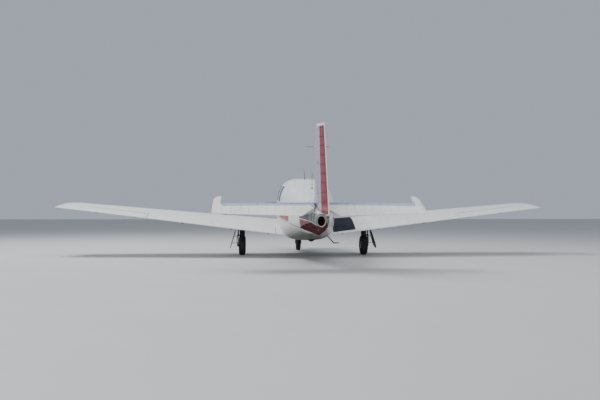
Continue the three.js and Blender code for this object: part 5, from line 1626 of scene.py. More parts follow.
steering_y = nose_axle_y + 0.030
collar_top, collar_bottom, head_top, crown_top = -0.380, -0.500, -0.364, -0.735
fork_inner, fork_outer, fork_back, fork_front, crown_bottom = 0.068, 0.080, 1.795, 1.880, -0.753
support_back = firewall_y + seat_gap
collar_profile = [(0.046, 0), (0.048, 0.010), (0.046, 0.020), (0.044, 0.060), (0.046, 0.100), (0.048, 0.110),
                  (0.046, 0.120)]
support_arm = rounded([[support_back, collar_top - 0.048], [steering_y, collar_top - 0.044],
                       [steering_y, collar_top - 0.004], [support_back, collar_top]], 0.01)
support_web = [[support_back, collar_top - 0.115], [firewall_y + 0.03, collar_top - 0.115],
               [steering_y - 0.03, collar_top - 0.046], [support_back, collar_top - 0.046]]
support = cut(
    join(
        lathe(collar_profile, [0, steering_y, collar_bottom], upwards, 48),
        prism(support_arm, -0.050, 0.050),
        prism(support_web, -0.006, 0.006),
    ),
    rod([0, steering_y, collar_bottom - 0.009], [0, steering_y, 0], 0.0285, 48),
)
piece("nose_leg_support_casting", support, grey_look, "airframe", "nose_leg_support")
fork_outline = rounded([[fork_back, crown_top], [fork_front, crown_top], [1.872, -0.810], [1.844, -0.945],
                        [1.833, -0.966], [1.807, -0.966], [1.796, -0.945]], 0.012)
stem_profile = [(0.028, 0), (0.028, -crown_top - 0.51), (0.034, -crown_top - 0.505),
                (0.034, -crown_top - 0.5005)]


def across_axle(start, end, radius):
    """A rod along the nose wheel's axle."""
    return rod([start, *nose_axle[1:]], [end, *nose_axle[1:]], radius, 32)


fork = join(
    lathe(stem_profile, [0, steering_y, crown_bottom], upwards, 40),
    rod([0, steering_y, -0.53], [0, steering_y, head_top], 0.028, 40),
    lathe([(0.042, 0), (0.042, 0.012), (0.039, 0.0157)], [0, steering_y, collar_top + seat_gap], upwards, 40),
    prism(rectangle(-fork_outer, fork_outer, fork_back, fork_front, 0.018), crown_bottom, crown_top, "xy"),
    prism(fork_outline, fork_inner, fork_outer),
    prism(fork_outline, -fork_outer, -fork_inner),
    across_axle(-fork_outer, fork_outer, 0.012),
    across_axle(0.0463, fork_inner + 0.001, 0.019),
    across_axle(-fork_inner - 0.001, -0.0463, 0.019),
)
piece("nose_fork_forging", fork, black_look, "nose_fork", "nose_fork")
nose_door = cut(
    prism(rounded([[1.640, -0.400], [1.640, -0.640], [1.560, -0.735], [1.000, -0.735], [0.950, -0.660],
                   [0.950, -0.400]], 0.04), 0.108, 0.114),
    fuselage_all,
)
door_ribs = [prism(rectangle(y - 0.008, y + 0.008, -0.70, -0.61), 0.104, 0.109) for y in (1.10, 1.30, 1.50)]
both_sides("nose_gear_door_{side}_panel", join(nose_door, *door_ribs), fuselage_look, "airframe",
           "nose_gear_door_{side}")

# Propeller, spinner, exhaust and engine.

hub_y, backplate_front, backplate_back = 2.895, 2.845, 2.837
# Columns: distance from the hub, chord, thickness, pitch in degrees.
blade_sections = np.array([
    [0.070, 0.076, 0.060, 60], [0.170, 0.092, 0.046, 48], [0.300, 0.132, 0.030, 36],
    [0.520, 0.148, 0.020, 25], [0.760, 0.128, 0.012, 19], [0.900, 0.096, 0.007, 16],
    [0.925, 0.078, 0.0055, 15.5], [0.937, 0.052, 0.0045, 15], [0.940, 0.030, 0.004, 15],
])


def blade_form():
    """A blade to starboard: aerofoil sections turned by the pitch, from a round shank to a rounded tip."""
    reach = np.concatenate([np.linspace(0.07, 0.9, 34), [0.912, 0.922, 0.930, 0.935, 0.938, 0.940]])
    chord, thick, pitch = between_rows(blade_sections, reach).T[:, :, None]
    angle = full_turn(36)[None, :]
    flat = np.clip((reach[:, None] - 0.12) / 0.2, 0, 1)
    across = chord / 2 * np.cos(angle)
    deep = thick / 2 * np.sin(angle) * (1 + flat * 0.35 * np.cos(angle))
    deep = deep * np.where(np.sin(angle) < 0, 1 - 0.5 * flat, 1)
    turn = np.radians(pitch)
    y = hub_y + across * np.sin(turn) + deep * np.cos(turn)
    z = across * np.cos(turn) - deep * np.sin(turn)
    return loft(np.stack([np.broadcast_to(reach[:, None], y.shape), y, z], -1))


def blade_paint():
    """Black blades with a bright worn nose, and a grey band and a white tip."""
    look = Look("blade_paint", (0.02, 0.02, 0.022), 0.35, coat_weight=0.1)
    x, y, z = look.xyz()
    reach = (x * x + z * z).maths("SQRT")
    look.over(reach.between(0.850, 0.900, 0.001), (0.55, 0.10, 0.07))
    look.over(reach.ramp(0.899, 0.901), (0.75, 0.74, 0.70))
    wear = look.noise(45, 5, 0.7)
    look.over(wear.ramp(0.62, 0.72) * 0.6, (0.35, 0.35, 0.36))
    look.rough(wear, 0.28, 0.5)
    return look.made(wear.ramp(0.62, 0.72) * -0.4 + look.noise(240) * 0.1, 0.0005)


blade = blade_form()
half_turn = Matrix.Rotation(math.pi, 4, "Y")
piece("propeller_blades", blade + blade.turned(half_turn), blade_paint(), "propeller", "propeller")
hub = join(
    rod([-0.08, hub_y, 0], [0.08, hub_y, 0], 0.052, 40),
    rod([0, backplate_back, 0], [0, hub_y, 0], 0.060, 40),
    rod([0, backplate_back, 0], [0, backplate_front, 0], 0.166, 72),
)
piece("propeller_hub", hub, bare_metal("hub_metal", (0.55, 0.55, 0.56), 0.35), "propeller")
spinner_points = curve([(0.168, 0), (0.1665, 0.045), (0.160, 0.090), (0.146, 0.145), (0.124, 0.200),
                        (0.099, 0.242), (0.070, 0.275), (0.035, 0.299), (0.0005, 0.309)], 44)
radius, along = spinner_points[::-1].T
spinner_inner = np.stack([np.maximum(radius - 0.004, 0.0004), along - np.where(radius < 0.1, 0.004, 0)], -1)
spinner_profile = np.concatenate([spinner_points, spinner_inner])
spinner = lathe(spinner_profile, (0, backplate_front + seat_gap, 0), ahead, 80, closed=True)
spinner = cut(spinner, rod([-0.2, hub_y, 0], [0.2, hub_y, 0], 0.062, 48))
piece("spinner_shell", spinner, enamel("spinner_paint", white, 0.25, 0.1), "propeller", "spinner")
screws = []
for a in full_turn(12) + math.pi / 12:
    out = np.array([math.cos(a), 0, math.sin(a)])
    place = out * 0.1666 + (0, backplate_front + 0.012, 0)
    screws.append(lathe([(0.0042, 0), (0.0036, 0.0016)], place, out, 10))
piece("spinner_screws", together(screws), steel_look, "propeller")

pipe_bends = [(1.900, -0.3003), (1.900, -0.400), (1.898, -0.480), (1.880, -0.555), (1.835, -0.597),
              (1.775, -0.619), (1.692, -0.640)]
pipe_path = curve([(pipe_x, y, z) for y, z in pipe_bends], 40)


def pipe_form():
    """An open pipe: an outer and an inner skin along the path, closed by a lip at its mouth."""
    outer = tube(pipe_path, 0.028, 40)
    inner_path = pipe_path[14:].copy()
    inner_path[-1] += (pipe_path[-1] - pipe_path[-2]) * 0.6
    return cut(outer, tube(inner_path, 0.0255, 40))



def sooty_steel():
    """Brown heated steel with patches of soot."""
    look = Look("exhaust_steel", (0.22, 0.17, 0.14), 0.5, metallic=1.0)
    soot = look.noise(26, 5, 0.65)
    look.over(soot.ramp(0.35, 0.7), (0.07, 0.055, 0.05))
    look.over(look.noise(9).ramp(0.55, 0.8) * 0.6, (0.30, 0.20, 0.24))
    look.rough(soot, 0.38, 0.75)
    return look.made(soot, 0.0006)


piece("exhaust_pipe_tube", pipe_form(), sooty_steel(), "airframe", "exhaust_pipe")

engine_look = enamel("engine_grey", (0.20, 0.21, 0.22), 0.5)
case_outline = [[1.83, -0.13], [2.56, -0.12], [2.56, 0.04], [2.50, 0.085], [1.90, 0.089], [1.83, 0.05]]
sump_outline = [[1.90, -0.299], [2.42, -0.28], [2.46, -0.10], [1.86, -0.10]]
front_profile = [(0.09, 0), (0.085, 0.03), (0.06, 0.06), (0.045, 0.08), (0.045, 0.2767)]
piece("crankcase", join(
    prism(rounded(case_outline, 0.03), -0.12, 0.12),
    prism(rounded(sump_outline, 0.03), -0.15, 0.15),
    lathe(front_profile, [0, 2.56, 0], ahead, 48),
), engine_look, "airframe", "engine_block")
barrel_look = bare_metal("cylinder_fins", (0.10, 0.10, 0.105), 0.55)
barrel_radius, fin_radius = 0.062, 0.080
barrel_profile = []
for out in 0.115 + 0.0085 * np.arange(11):
    barrel_profile += [(barrel_radius, out), (barrel_radius, out + 0.0035),
                       (fin_radius, out + 0.004), (fin_radius, out + 0.0065)]
barrel_profile += [(barrel_radius, 0.212)]
for name, side in sides_of:
    # The port cylinders sit further back than those to starboard.
    rows = np.array([2.44, 2.20, 1.96]) - (0.03 if side < 0 else 0)
    barrels = [lathe(barrel_profile, (0, y, -0.01), (side, 0, 0), 40) for y in rows]
    heads = []
    for y in rows:
        head = box((0.208, 0.298), (y - 0.085, y + 0.085), (-0.092, 0.072))
        grooves = [box((x, x + 0.0055), (y - 0.1, y + 0.1), (0.030, 0.09))
                   for x in 0.216 + 0.012 * np.arange(6)]
        head = cut(head, *grooves)
        heads.append(head if side > 0 else head.mirrored())
    piece(f"cylinders_{name}", together(barrels), barrel_look, "airframe")
    piece(f"cylinder_heads_{name}", together(heads), cast_look, "airframe")
for i, (side, z) in enumerate([(-1, 0.050), (1, 0.050), (-1, -0.250), (1, -0.250)]):
    path = curve([(side * 0.240, firewall_y + seat_gap, z), (side * 0.240, 1.76, z),
                  (side * 0.17, 1.84, z * 0.8), (side * 0.13, 1.90, z * 0.7)], 16)
    piece(f"engine_mount_{i + 1}", tube(path, 0.012, 16), black_look, "airframe")
baffle = prism(rectangle(-0.30, 0.30, -0.09, 0.07, 0.02), 2.575, 2.570, "xz")
baffle_look = bare_metal("baffle_metal", (0.30, 0.31, 0.30), 0.4)
piece("baffle", cut(baffle, rod([0, 2.5, 0], [0, 2.7, 0], 0.075, 40)), baffle_look, "airframe")

# Glass, with the seals round it.

glass_look = glazing("blue_acrylic", (0.42, 0.58, 0.88), 0.72)
screen_look = glazing("windscreen_acrylic", (0.74, 0.84, 0.95), 0.94)
seal_look = plastic("window_seal", (0.03, 0.03, 0.032), 0.6)
pane_seal_look = plastic("pane_seal", (0.22, 0.23, 0.25), 0.55)


def pane(outline, start=0, depth=0.014, corner=window_corner):
    """A curved sheet that fills an opening, set in from the skin."""
    inner = fuselage(firewall_y + 0.001, cabin_back_y - 0.001, depth + 0.005)
    sheet = cut(fuselage(firewall_y, cabin_back_y, depth), inner)
    return common(sheet, prism(inset(rounded(outline, corner), seat_gap), start, side_reach))


def bead_round(outline):
    """A rubber bead along the edge of an opening: the outline, drawn in, followed over the skin drawn in."""
    depth, radius, count = 0.010, 0.004, 160
    ring = inset(rounded(outline, window_corner, 9), 0.003)
    closed = np.concatenate([ring, ring[:1]])
    length = np.concatenate([[0], np.cumsum(np.linalg.norm(np.diff(closed, axis=0), axis=1))])
    t = np.linspace(0, length[-1], count, endpoint=False)
    y, z = np.interp(t, length, closed[:, 0]), np.interp(t, length, closed[:, 1])
    half, top, bottom, middle, above, below = between_rows(fuselage_sections, y).T
    reach = np.where(z > middle, top - middle, middle - bottom) - depth
    power = np.where(z > middle, above, below)
    x = (half - depth) * np.maximum(0, 1 - np.minimum(1, np.abs(z - middle) / reach) ** power) ** (1 / power)
    path = np.stack([x, y, z], -1)
    along = np.roll(path, -1, 0) - np.roll(path, 1, 0)
    along /= np.linalg.norm(along, axis=1)[:, None]
    outwards = np.array([1.0, 0, 0]) - along * along[:, :1]
    outwards /= np.linalg.norm(outwards, axis=1)[:, None]
    third = np.cross(along, outwards)
    angle = full_turn(10)
    rim = np.cos(angle)[None, :, None] * outwards[:, None] + np.sin(angle)[None, :, None] * third[:, None]
    return ring_of(path[:, None] + radius * rim)


front_pane = pane(front_window)
piece("door_pane", front_pane, glass_look, "cabin_door", "door_window")
piece("front_pane_left", front_pane.mirrored(), glass_look, "airframe", "window_front_left")
both_sides("rear_pane_{side}", pane(rear_window), glass_look, "airframe", "window_rear_{side}")
screen_pane = pane(windscreen, centre_post + seat_gap, 0.002, 0.03)
both_sides("windscreen_{side}_pane", screen_pane, screen_look, "airframe", "windscreen_{side}")
front_bead = bead_round(front_window)
piece("door_window_seal", front_bead, pane_seal_look, "cabin_door")
piece("front_window_seal_left", front_bead.mirrored(), pane_seal_look, "airframe")
both_sides("rear_window_seal_{side}", bead_round(rear_window), pane_seal_look, "airframe")

# Inside the cabin. Padded pieces start a little small and are blown up to size.


def stuffed(name, shape, grooves, stands_for=(), mirror=False):
    """A cushion: its form is remeshed in small cells and smoothed, then a cloth simulation presses it out for
    20 frames. No point moves further than swell. Grooves tell how deep its stitching draws each point in."""
    swell, fill = 0.014, 0.6
    mesh = mesh_of(shape, name)
    thing = bpy.data.objects.new(name, mesh)
    bpy.context.scene.collection.objects.link(thing)
    cells = thing.modifiers.new("cells", "REMESH")
    cells.mode = "VOXEL"
    cells.voxel_size = 0.006
    soften = thing.modifiers.new("soften", "SMOOTH")
    soften.factor, soften.iterations = 0.6, 14
    depsgraph = bpy.context.evaluated_depsgraph_get()
    start = bpy.data.meshes.new_from_object(thing.evaluated_get(depsgraph))
    thing.modifiers.clear()
    thing.data = start
    after = before = numbers(start.vertices, "co")
    cloth_step = thing.modifiers.new("cloth", "CLOTH")
    cloth_step.settings.quality = 5
    cloth_step.settings.mass = 0.3
    cloth_step.settings.tension_stiffness = cloth_step.settings.compression_stiffness = 12
    cloth_step.settings.bending_stiffness = 0.4
    cloth_step.settings.use_pressure = True
    cloth_step.settings.uniform_pressure_force = 4
    cloth_step.settings.effector_weights.gravity = 0
    for frame_number in range(1, 21):
        bpy.context.scene.frame_set(frame_number)
    blown = bpy.data.meshes.new_from_object(thing.evaluated_get(bpy.context.evaluated_depsgraph_get()))
    after = numbers(blown.vertices, "co")
    thing.modifiers.clear()
    bpy.context.scene.frame_set(1)
    move = after - before
    far = np.linalg.norm(move, axis=1)[:, None]
    points = before + move * np.minimum(1, swell / np.maximum(far, 1e-9))
    points = points - numbers(start.vertices, "normal") * grooves(before)[:, None]
    form = Shape(points, shape_of(start).faces)
    bpy.data.objects.remove(thing)
    both = [("right", form)]
    if mirror:
        both.append(("left", form.mirrored()))
    for side, form in both:
        node = stands_for.format(side=side) if stands_for else ()
        cushion = piece(name.format(side=side), form, seat_cloth, "airframe", node, sharp=180)
        level = cushion.modifiers.new("finer", "SUBSURF")
        level.levels = level.render_levels = 1


def channels(first, direction, spacing, count, facing):
    """Sewn channels: each point is drawn in by a depth times e to the minus (distance to the nearest line
    over a width) squared, on the faces that lie along a direction."""
    depth, width, fade = 0.006, 0.008, 0.006

    def grooves(points):
        along = (points - first) @ np.asarray(direction, float)
        nearest = np.clip(np.round(along / spacing), 0, count - 1) * spacing
        inside = 1 / (1 + np.exp(-((points - first) @ np.asarray(facing, float)) / fade))
        return depth * np.exp(-(((along - nearest) / width) ** 2)) * inside
    return grooves


seat_cloth = cloth("seat_cloth", (0.105, 0.125, 0.155))
seat_base = rounded([[0.545, -0.237], [0.568, -0.172], [0.540, -0.146], [0.180, -0.165],
                     [0.135, -0.240]], 0.03)
seat_back = rounded([[0.125, -0.150], [0.025, 0.385], [-0.005, 0.415], [-0.055, 0.405], [-0.057, 0.370],
                     [0.055, -0.145]], 0.025)
stuffed("seat_cushion_{side}", prism(seat_base, 0.080, 0.500),
        channels((0, 0.24, -0.190), ahead, 0.075, 4, upwards), "seat_front_{side}", mirror=True)
stuffed("seat_back_{side}", prism(seat_back, 0.082, 0.490),
        channels((0, 0.09, -0.06), (0, -0.18, 0.98), 0.085, 5, (0, 0.98, 0.18)), mirror=True)
bench_base = rounded([[-0.362, -0.285], [-0.362, -0.178], [-0.395, -0.148], [-0.735, -0.168],
                      [-0.755, -0.285]], 0.03)
bench_back = rounded([[-0.762, -0.130], [-0.865, 0.318], [-0.895, 0.342], [-0.943, 0.335], [-0.945, 0.300],
                      [-0.838, -0.135]], 0.025)
for name, low, high, node in (("left", -0.470, -0.012, "seat_rear"), ("right", 0.012, 0.470, ())):
    stuffed(f"bench_cushion_{name}", prism(bench_base, low, high),
            channels((0, -0.66, -0.195), ahead, 0.075, 4, upwards), node)
    stuffed(f"bench_back_{name}", prism(bench_back, low * 0.98, high * 0.98),
            channels((0, -0.80, -0.05), (0, -0.22, 0.975), 0.085, 4, (0, 0.975, 0.22)))
bench_box = cut(box((-0.46, 0.46), (-0.80, -0.37), (floor_top + seat_gap, -0.272)),
                box((-0.44, 0.44), (-0.79, -0.36), (floor_top - 0.01, -0.30)))
piece("bench_frame", bench_box, trim_look, "airframe")

upright = [(0, 0.150, -0.250), (0, 0.105, -0.215), (0, 0.085, -0.150), (0, 0.020, 0.250)]
pan = join(
    box((0.095, 0.485), (0.145, 0.530), (-0.258, -0.248)),
    *[tube(curve(upright, 16) + [x, 0, 0], 0.011) for x in (0.12, 0.46)],
)
both_sides("seat_pan_{side}", pan, grey_look, "airframe")


def strap(path):
    """Webbing: a flat rectangle carried along a path, wide fore and aft."""
    width, thickness = 0.046, 0.0022
    along = np.gradient(path, axis=0)
    along /= np.linalg.norm(along, axis=1)[:, None]
    side = np.asarray(ahead, float) - along * along[:, 1:2]
    side /= np.linalg.norm(side, axis=1)[:, None]
    up = np.cross(along, side)
    corners = [(-0.5, -0.5), (0.5, -0.5), (0.5, 0.5), (-0.5, 0.5)]
    return loft(np.stack([path + side * a * width + up * b * thickness for a, b in corners], 1))


def webbing():
    """Grey belt webbing: ribs along the belt and a fine weave across."""
    look = Look("belt_webbing", (0.10, 0.10, 0.11), 0.85)
    x, y, z = look.xyz()
    ribs = (y * 2400).maths("SINE") * (x * 1600).maths("SINE")
    look.over(ribs.ramp(-0.5, 0.9) * 0.5, (0.045, 0.045, 0.05))
    look.rough(look.noise(20), 0.75, 0.95)
    return look.made(ribs, 0.0008)


belt_look = webbing()
buckle = prism(rectangle(-0.026, 0.026, -0.022, 0.022, 0.008), -0.006, 0.007, "xy")
z = -0.128
for name, side in sides_of:
    for seat, y in (("front", 0.235), ("rear", -0.660)):
        lap = curve([(side * 0.075, y - 0.05, z - 0.08), (side * 0.090, y - 0.02, z + 0.008),
                     (side * 0.17, y + 0.03, z + 0.016), (side * 0.265, y + 0.05, z + 0.017)], 24)
        other = lap * [-1, 1, 1] + [side * 0.575, 0, 0]
        piece(f"belt_{seat}_{name}_inner", strap(lap), belt_look, "airframe")
        piece(f"belt_{seat}_{name}_outer", strap(other), belt_look, "airframe")
        clasp = buckle.moved(side * 0.285, y + 0.052, z + 0.020)
        piece(f"buckle_{seat}_{name}", clasp, steel_look, "airframe")

floor_cover = common(box((-0.56, 0.56), (-1.60, 1.62), (floor_top - 0.02, floor_top + 0.006)),
                     fuselage(1.63, -1.62, cabin_wall + 0.002))
floor_cover = cut(floor_cover, *nose_blocks(0.03))
piece("carpet_floor", floor_cover, carpet(), "airframe")

# Instrument panel, with dials, a radio stack, knobs and two yokes.

panel_y = 0.900


def facing_aft(outline, low, high):
    """A plate between two heights, turned to face aft: its outline is (starboard, up)."""
    return prism(outline, low, high, "xy").turned(Matrix.Rotation(math.pi / 2, 4, "X"))


panel_face = common(
    fuselage(firewall_y - cabin_wall - 0.001, cabin_back_y, cabin_wall + seat_gap),
    join(box((-0.6, 0.6), (panel_y, panel_y + 0.025), (-0.150, 0.225)),
         box((-0.6, 0.6), (panel_y + 0.02, 1.330), (0.212, 0.226))),
)
shield_outline = rounded([[0.855, 0.204], [0.870, 0.197], [0.905, 0.205], [1.325, 0.224], [1.325, 0.232],
                          [0.905, 0.232], [0.862, 0.222]], 0.008)
shield = common(fuselage(1.4, cabin_back_y, cabin_wall + seat_gap), prism(shield_outline, -0.6, 0.6))
panel_look = plastic("panel_grey", (0.085, 0.088, 0.095), 0.55)
dark_look = plastic("panel_black", (0.012, 0.012, 0.014), 0.45)
mark_look = enamel("dial_marks", (0.75, 0.75, 0.72), 0.5, 0)
shield_look = plastic("glareshield_black", (0.022, 0.022, 0.024), 0.85)
piece("panel_board", panel_face, panel_look, "airframe", "instrument_panel")
piece("glareshield", shield, shield_look, "airframe")
dials, faces, marks = [], [], []
# Place across, height and radius of each dial.
dial_places = [(-0.40 + 0.092 * i, z, 0.039) for z in (0.125, 0.033) for i in range(4)]
dial_places += [(0.315 + 0.075 * i, z, 0.029) for z in (0.130, 0.055) for i in range(3)]
dial_places += [(-0.455, 0.08, 0.029), (0.02, -0.075, 0.029), (0.10, -0.075, 0.029)]
for k, (x, z, r) in enumerate(dial_places):
    bezel = [(r, 0.0), (r + 0.004, 0.0), (r + 0.004, 0.004), (r + 0.001, 0.006), (r - 0.001, 0.004)]
    dials.append(lathe(bezel, (x, panel_y + 0.001, z), aft, 40, closed=True))
    faces.append(lathe([(r, 0.0), (r, 0.0015)], (x, panel_y + 0.0005, z), aft, 40))
    tick = box((-0.0007, 0.0007), (-0.0003, 0.0003), (r * 0.78, r * 0.94))
    marks += [tick.turned(Matrix.Rotation(a, 4, "Y")).moved(x, panel_y - 0.0013, z) for a in full_turn(12)]
    pointer = [[-0.0011, -r * 0.2], [0.0011, -r * 0.2], [0.0005, r * 0.72], [-0.0005, r * 0.72]]
    needle = facing_aft(pointer, -0.0003, 0.0003).turned(Matrix.Rotation(0.7 + 1.9 * k, 4, "Y"))
    marks.append(needle.moved(x, panel_y - 0.0022, z))
piece("dial_bezels", together(dials), dark_look, "airframe")
piece("dial_faces", together(faces), dark_look, "airframe")
piece("dial_marks", together(marks), mark_look, "airframe")
radios, displays = [], []
radio_face = facing_aft(rectangle(-0.078, 0.078, -0.023, 0.023, 0.004), 0, 0.008)
radio_knob = [(0.008, 0), (0.008, 0.010), (0.006, 0.013)]
for z in 0.150 - 0.052 * np.arange(5):
    radio_knobs = [lathe(radio_knob, (0.155 + out, panel_y - 0.006, z - 0.005), aft, 16)
                   for out in (-0.064, 0.064)]
    radios.append(join(radio_face.moved(0.155, panel_y + 0.001, z), *radio_knobs))
    displays.append(box((0.115, 0.195), (panel_y - 0.0085, panel_y - 0.0065), (z - 0.002, z + 0.014)))
piece("radio_stack", together(radios), dark_look, "airframe")
display_look = Look("display_glass", (0.03, 0.012, 0.008), 0.1, coat_weight=0.5)
display_look.over(display_look.noise(40).ramp(0.4, 0.7) * 0.5, (0.012, 0.012, 0.014))
display_look.rough(display_look.noise(12), 0.06, 0.16)
piece("radio_displays", together(displays), display_look.made(), "airframe")
knobs = []
knob_profile = [(0.010, 0), (0.013, 0.004), (0.013, 0.014), (0.009, 0.019)]
for x, reach in ((-0.055, 0.055), (-0.020, 0.045), (0.055, 0.050)):
    end = [x, panel_y - reach, -0.115]
    knobs.append(join(rod([x, panel_y + 0.002, -0.115], end, 0.0045, 12), lathe(knob_profile, end, aft, 20)))
piece("engine_knobs", together(knobs), dark_look, "airframe")


def yoke_form(x):
    """A control wheel to starboard or port: shaft, crossbar and two curved grips as one bent tube."""
    grip_y, z = panel_y - 0.150, 0.040
    grips = [(-0.118, 0.072), (-0.128, 0.030), (-0.112, -0.006), (-0.060, -0.010), (0, 0), (0.060, -0.010),
             (0.112, -0.006), (0.128, 0.030), (0.118, 0.072)]
    rim = curve([(x + out, grip_y, z + up) for out, up in grips], 60)
    hub = facing_aft(rectangle(-0.035, 0.035, -0.022, 0.022, 0.012), -0.014, 0.014).moved(x, grip_y, z)
    return join(rod([x, grip_y, z], [x, panel_y + 0.005, z], 0.012), tube(rim, 0.0135, 16), hub)


piece("yoke_left", yoke_form(-0.250), dark_look, "airframe")
piece("yoke_right", yoke_form(0.250), dark_look, "airframe")
pedal_outline = rounded([[1.455, -0.395], [1.470, -0.395], [1.492, -0.300], [1.478, -0.296]], 0.004)
pedals = []
for x in (-0.325, -0.185, 0.185, 0.325):
    lever = curve([(x, 1.470, -0.340), (x, 1.500, -0.240), (x, 1.520, -0.130)], 10)
    pedals.append(join(prism(pedal_outline, x - 0.045, x + 0.045), tube(lever, 0.008, 10)))
piece("rudder_pedals", together(pedals), grey_look, "airframe")

# Frames of the front seats: two bent tubes on floor rails.

seat_tubes = []
for x in (0.122, 0.418):
    bends = [(0.142, floor_top + 0.004), (0.142, -0.300), (0.150, -0.274), (0.176, -0.267),
             (0.474, -0.267), (0.500, -0.274), (0.508, -0.300), (0.508, floor_top + 0.004)]
    seat_tubes.append(tube(curve([(x, y, z) for y, z in bends], 60), 0.011, 16))
    seat_tubes.append(box((x - 0.014, x + 0.014), (0.130, 0.520), (floor_top + seat_gap, floor_top + 0.012)))
for y in (0.185, 0.465):
    seat_tubes.append(rod([0.122, y, -0.267], [0.418, y, -0.267], 0.009, 16))
both_sides("seat_frame_{side}_tubes", join(*seat_tubes), grey_look, "airframe", "seat_frame_{side}")

# Hinges, handle and latches of the doors.

white_enamel = enamel("white_enamel", white, 0.3, 0.15)
leaf_width, leaf_depth, hatch_knuckle = 0.016, 0.018, 0.0048


def door_hinge(name, body, place, radius):
    """Two knuckles end to end about X, each with a leaf into its own panel: one moves, the other is fixed."""
    for half, its_body, start, end, leaf in (
        ("moving", body, -knuckle_length, -seat_gap, (-leaf_width, 0)),
        ("fixed", "airframe", seat_gap, knuckle_length, (0, leaf_width)),
    ):
        form = join(rod([start, 0, 0], [end, 0, 0], radius), box((start, end), leaf, (-leaf_depth, 0)))
        piece(f"{name}_{half}", form.turned(place), white_enamel, its_body)


def skin_place(y, z):
    """A frame on the starboard skin at a height: X towards the nose, Y up the skin and Z outwards."""
    step = 0.004
    here = np.array([skin_x(y, z), y, z])
    forward = np.array([skin_x(y + step, z), y + step, z]) - here
    up = np.array([skin_x(y, z + step), y, z + step]) - here
    return frame_at(here, forward, up)


downwards = (0, 0, -1)
for i, z in enumerate((-0.040, 0.150)):
    place = frame_at([door_hinge_x, door_hinge_y, z], downwards, ahead)
    door_hinge(f"door_hinge_{i + 1}", "cabin_door", place, knuckle_radius)
for i, place in enumerate(hatch_hinge):
    door_hinge(f"hatch_hinge_{i + 1}", "baggage_door", frame_at(place, hatch_run, upwards), hatch_knuckle)


def pad(half_long, half_wide, corner, low, high):
    """A flat pad with rounded corners in a frame's own plane."""
    return prism(rectangle(-half_long, half_long, -half_wide, half_wide, corner), low, high, "xy")


lock = lathe([(0.011, -0.004), (0.011, 0.0030), (0.009, 0.0040)], origin, upwards, 24)
lock_y = -0.165
handle = join(pad(0.074, 0.019, 0.018, -0.004, 0.0016), pad(0.056, 0.012, 0.010, 0.0012, 0.0100))
catch = join(pad(0.030, 0.013, 0.010, -0.004, 0.0020), lock.moved(0, 0, 0.0005))
piece("door_handle", handle.turned(skin_place(lock_y, 0.045)), steel_look, "cabin_door")
piece("door_lock", lock.turned(skin_place(lock_y, -0.010)), steel_look, "cabin_door")
piece("hatch_catch", catch.turned(skin_place(hatch_y, 0.062)), steel_look, "baggage_door")

# Cowl fasteners along the parting line and round the firewall.

stud = lathe([(0.0070, -0.001), (0.0070, 0.0008), (0.0052, 0.0018)], origin, upwards, 12)
stud_places = [(y, z) for y in np.arange(1.80, 2.70, 0.112) for z in (-0.022, 0.022)]
stud_places += [(firewall_y + 0.022, z) for z in (-0.40, -0.28, -0.16, 0.09, 0.16, 0.22)]
studs = together([stud.turned(skin_place(y, z)) for y, z in stud_places])
both_sides("cowl_fasteners_{side}", studs, steel_look, "airframe")

# Fuel caps, inspection covers, pitot tube and wing-tip lights.

slope_across = (1, 0, math.tan(dihedral))


def on_wing(x, part, surface):
    """A frame on the wing's skin, its Z pointing away from it."""
    return frame_at(wing_point(x, part, surface), slope_across, (0, surface, 0))


fuel_cap = join(
    lathe([(0.050, -0.006), (0.050, 0.0012), (0.047, 0.0022)], origin, upwards, 48),
    lathe([(0.036, 0), (0.036, 0.0045), (0.033, 0.0060)], origin, upwards, 40),
    pad(0.030, 0.006, 0.005, 0.004, 0.0095),
)
both_sides("fuel_cap_{side}", fuel_cap.turned(on_wing(1.78, 0.34, 1)), steel_look, "airframe")
screw = lathe([(0.0032, 0.001), (0.0028, 0.0030)], origin, upwards, 8)
screw_circle = 0.052
cover = together([
    lathe([(0.062, -0.002), (0.062, 0.0010), (0.060, 0.0018)], origin, upwards, 40),
    *[screw.moved(screw_circle * math.cos(a), screw_circle * math.sin(a)) for a in full_turn(8)],
])
covers = together([cover.turned(on_wing(x, 0.44, -1)) for x in (1.90, 2.75, 3.60, 4.45)])
both_sides("inspection_covers_{side}", covers, white_enamel, "airframe")

pitot_root = wing_point(2.55, 0.24, -1)
mast_outline = rounded([[-0.030, 0.014], [0.026, 0.014], [0.012, -0.105], [-0.020, -0.105]], 0.006)
mast = prism(mast_outline, -0.005, 0.005)
pitot_path = curve([(0, -0.022, -0.100), (0, 0.060, -0.102), (0, 0.150, -0.103)], 12)
pitot = join(mast, tube(pitot_path, np.linspace(0.010, 0.0085, 12), 24)).moved(*pitot_root)
pitot = cut(pitot, rod(pitot_root + [0, 0.10, -0.103], pitot_root + [0, 0.2, -0.103], 0.004, 16))
piece("pitot_tube", pitot.mirrored(), steel_look, "airframe")

light_x = 5.13
light_root = wing_point(light_x, 0.055, 1)
pod_points = curve([(0.0006, -0.072), (0.011, -0.055), (0.019, -0.020), (0.022, 0.012), (0.022, 0.020)], 24)
pod = lathe(pod_points, origin, ahead, 32).moved(*light_root)
glass_points = curve([(0.0216, 0.0203), (0.0205, 0.034), (0.0165, 0.046), (0.009, 0.055),
                      (0.0006, 0.0575)], 16)
tip_glass = lathe(glass_points, origin, ahead, 32).moved(*light_root)
both_sides("tip_light_body_{side}", pod, white_enamel, "airframe")
piece("tip_light_right", tip_glass, lens("green_lens", (0.02, 0.35, 0.16)), "airframe")
piece("tip_light_left", tip_glass.mirrored(), lens("red_lens", (0.50, 0.02, 0.02)), "airframe")

# Tail light, tie-down ring and aerials.

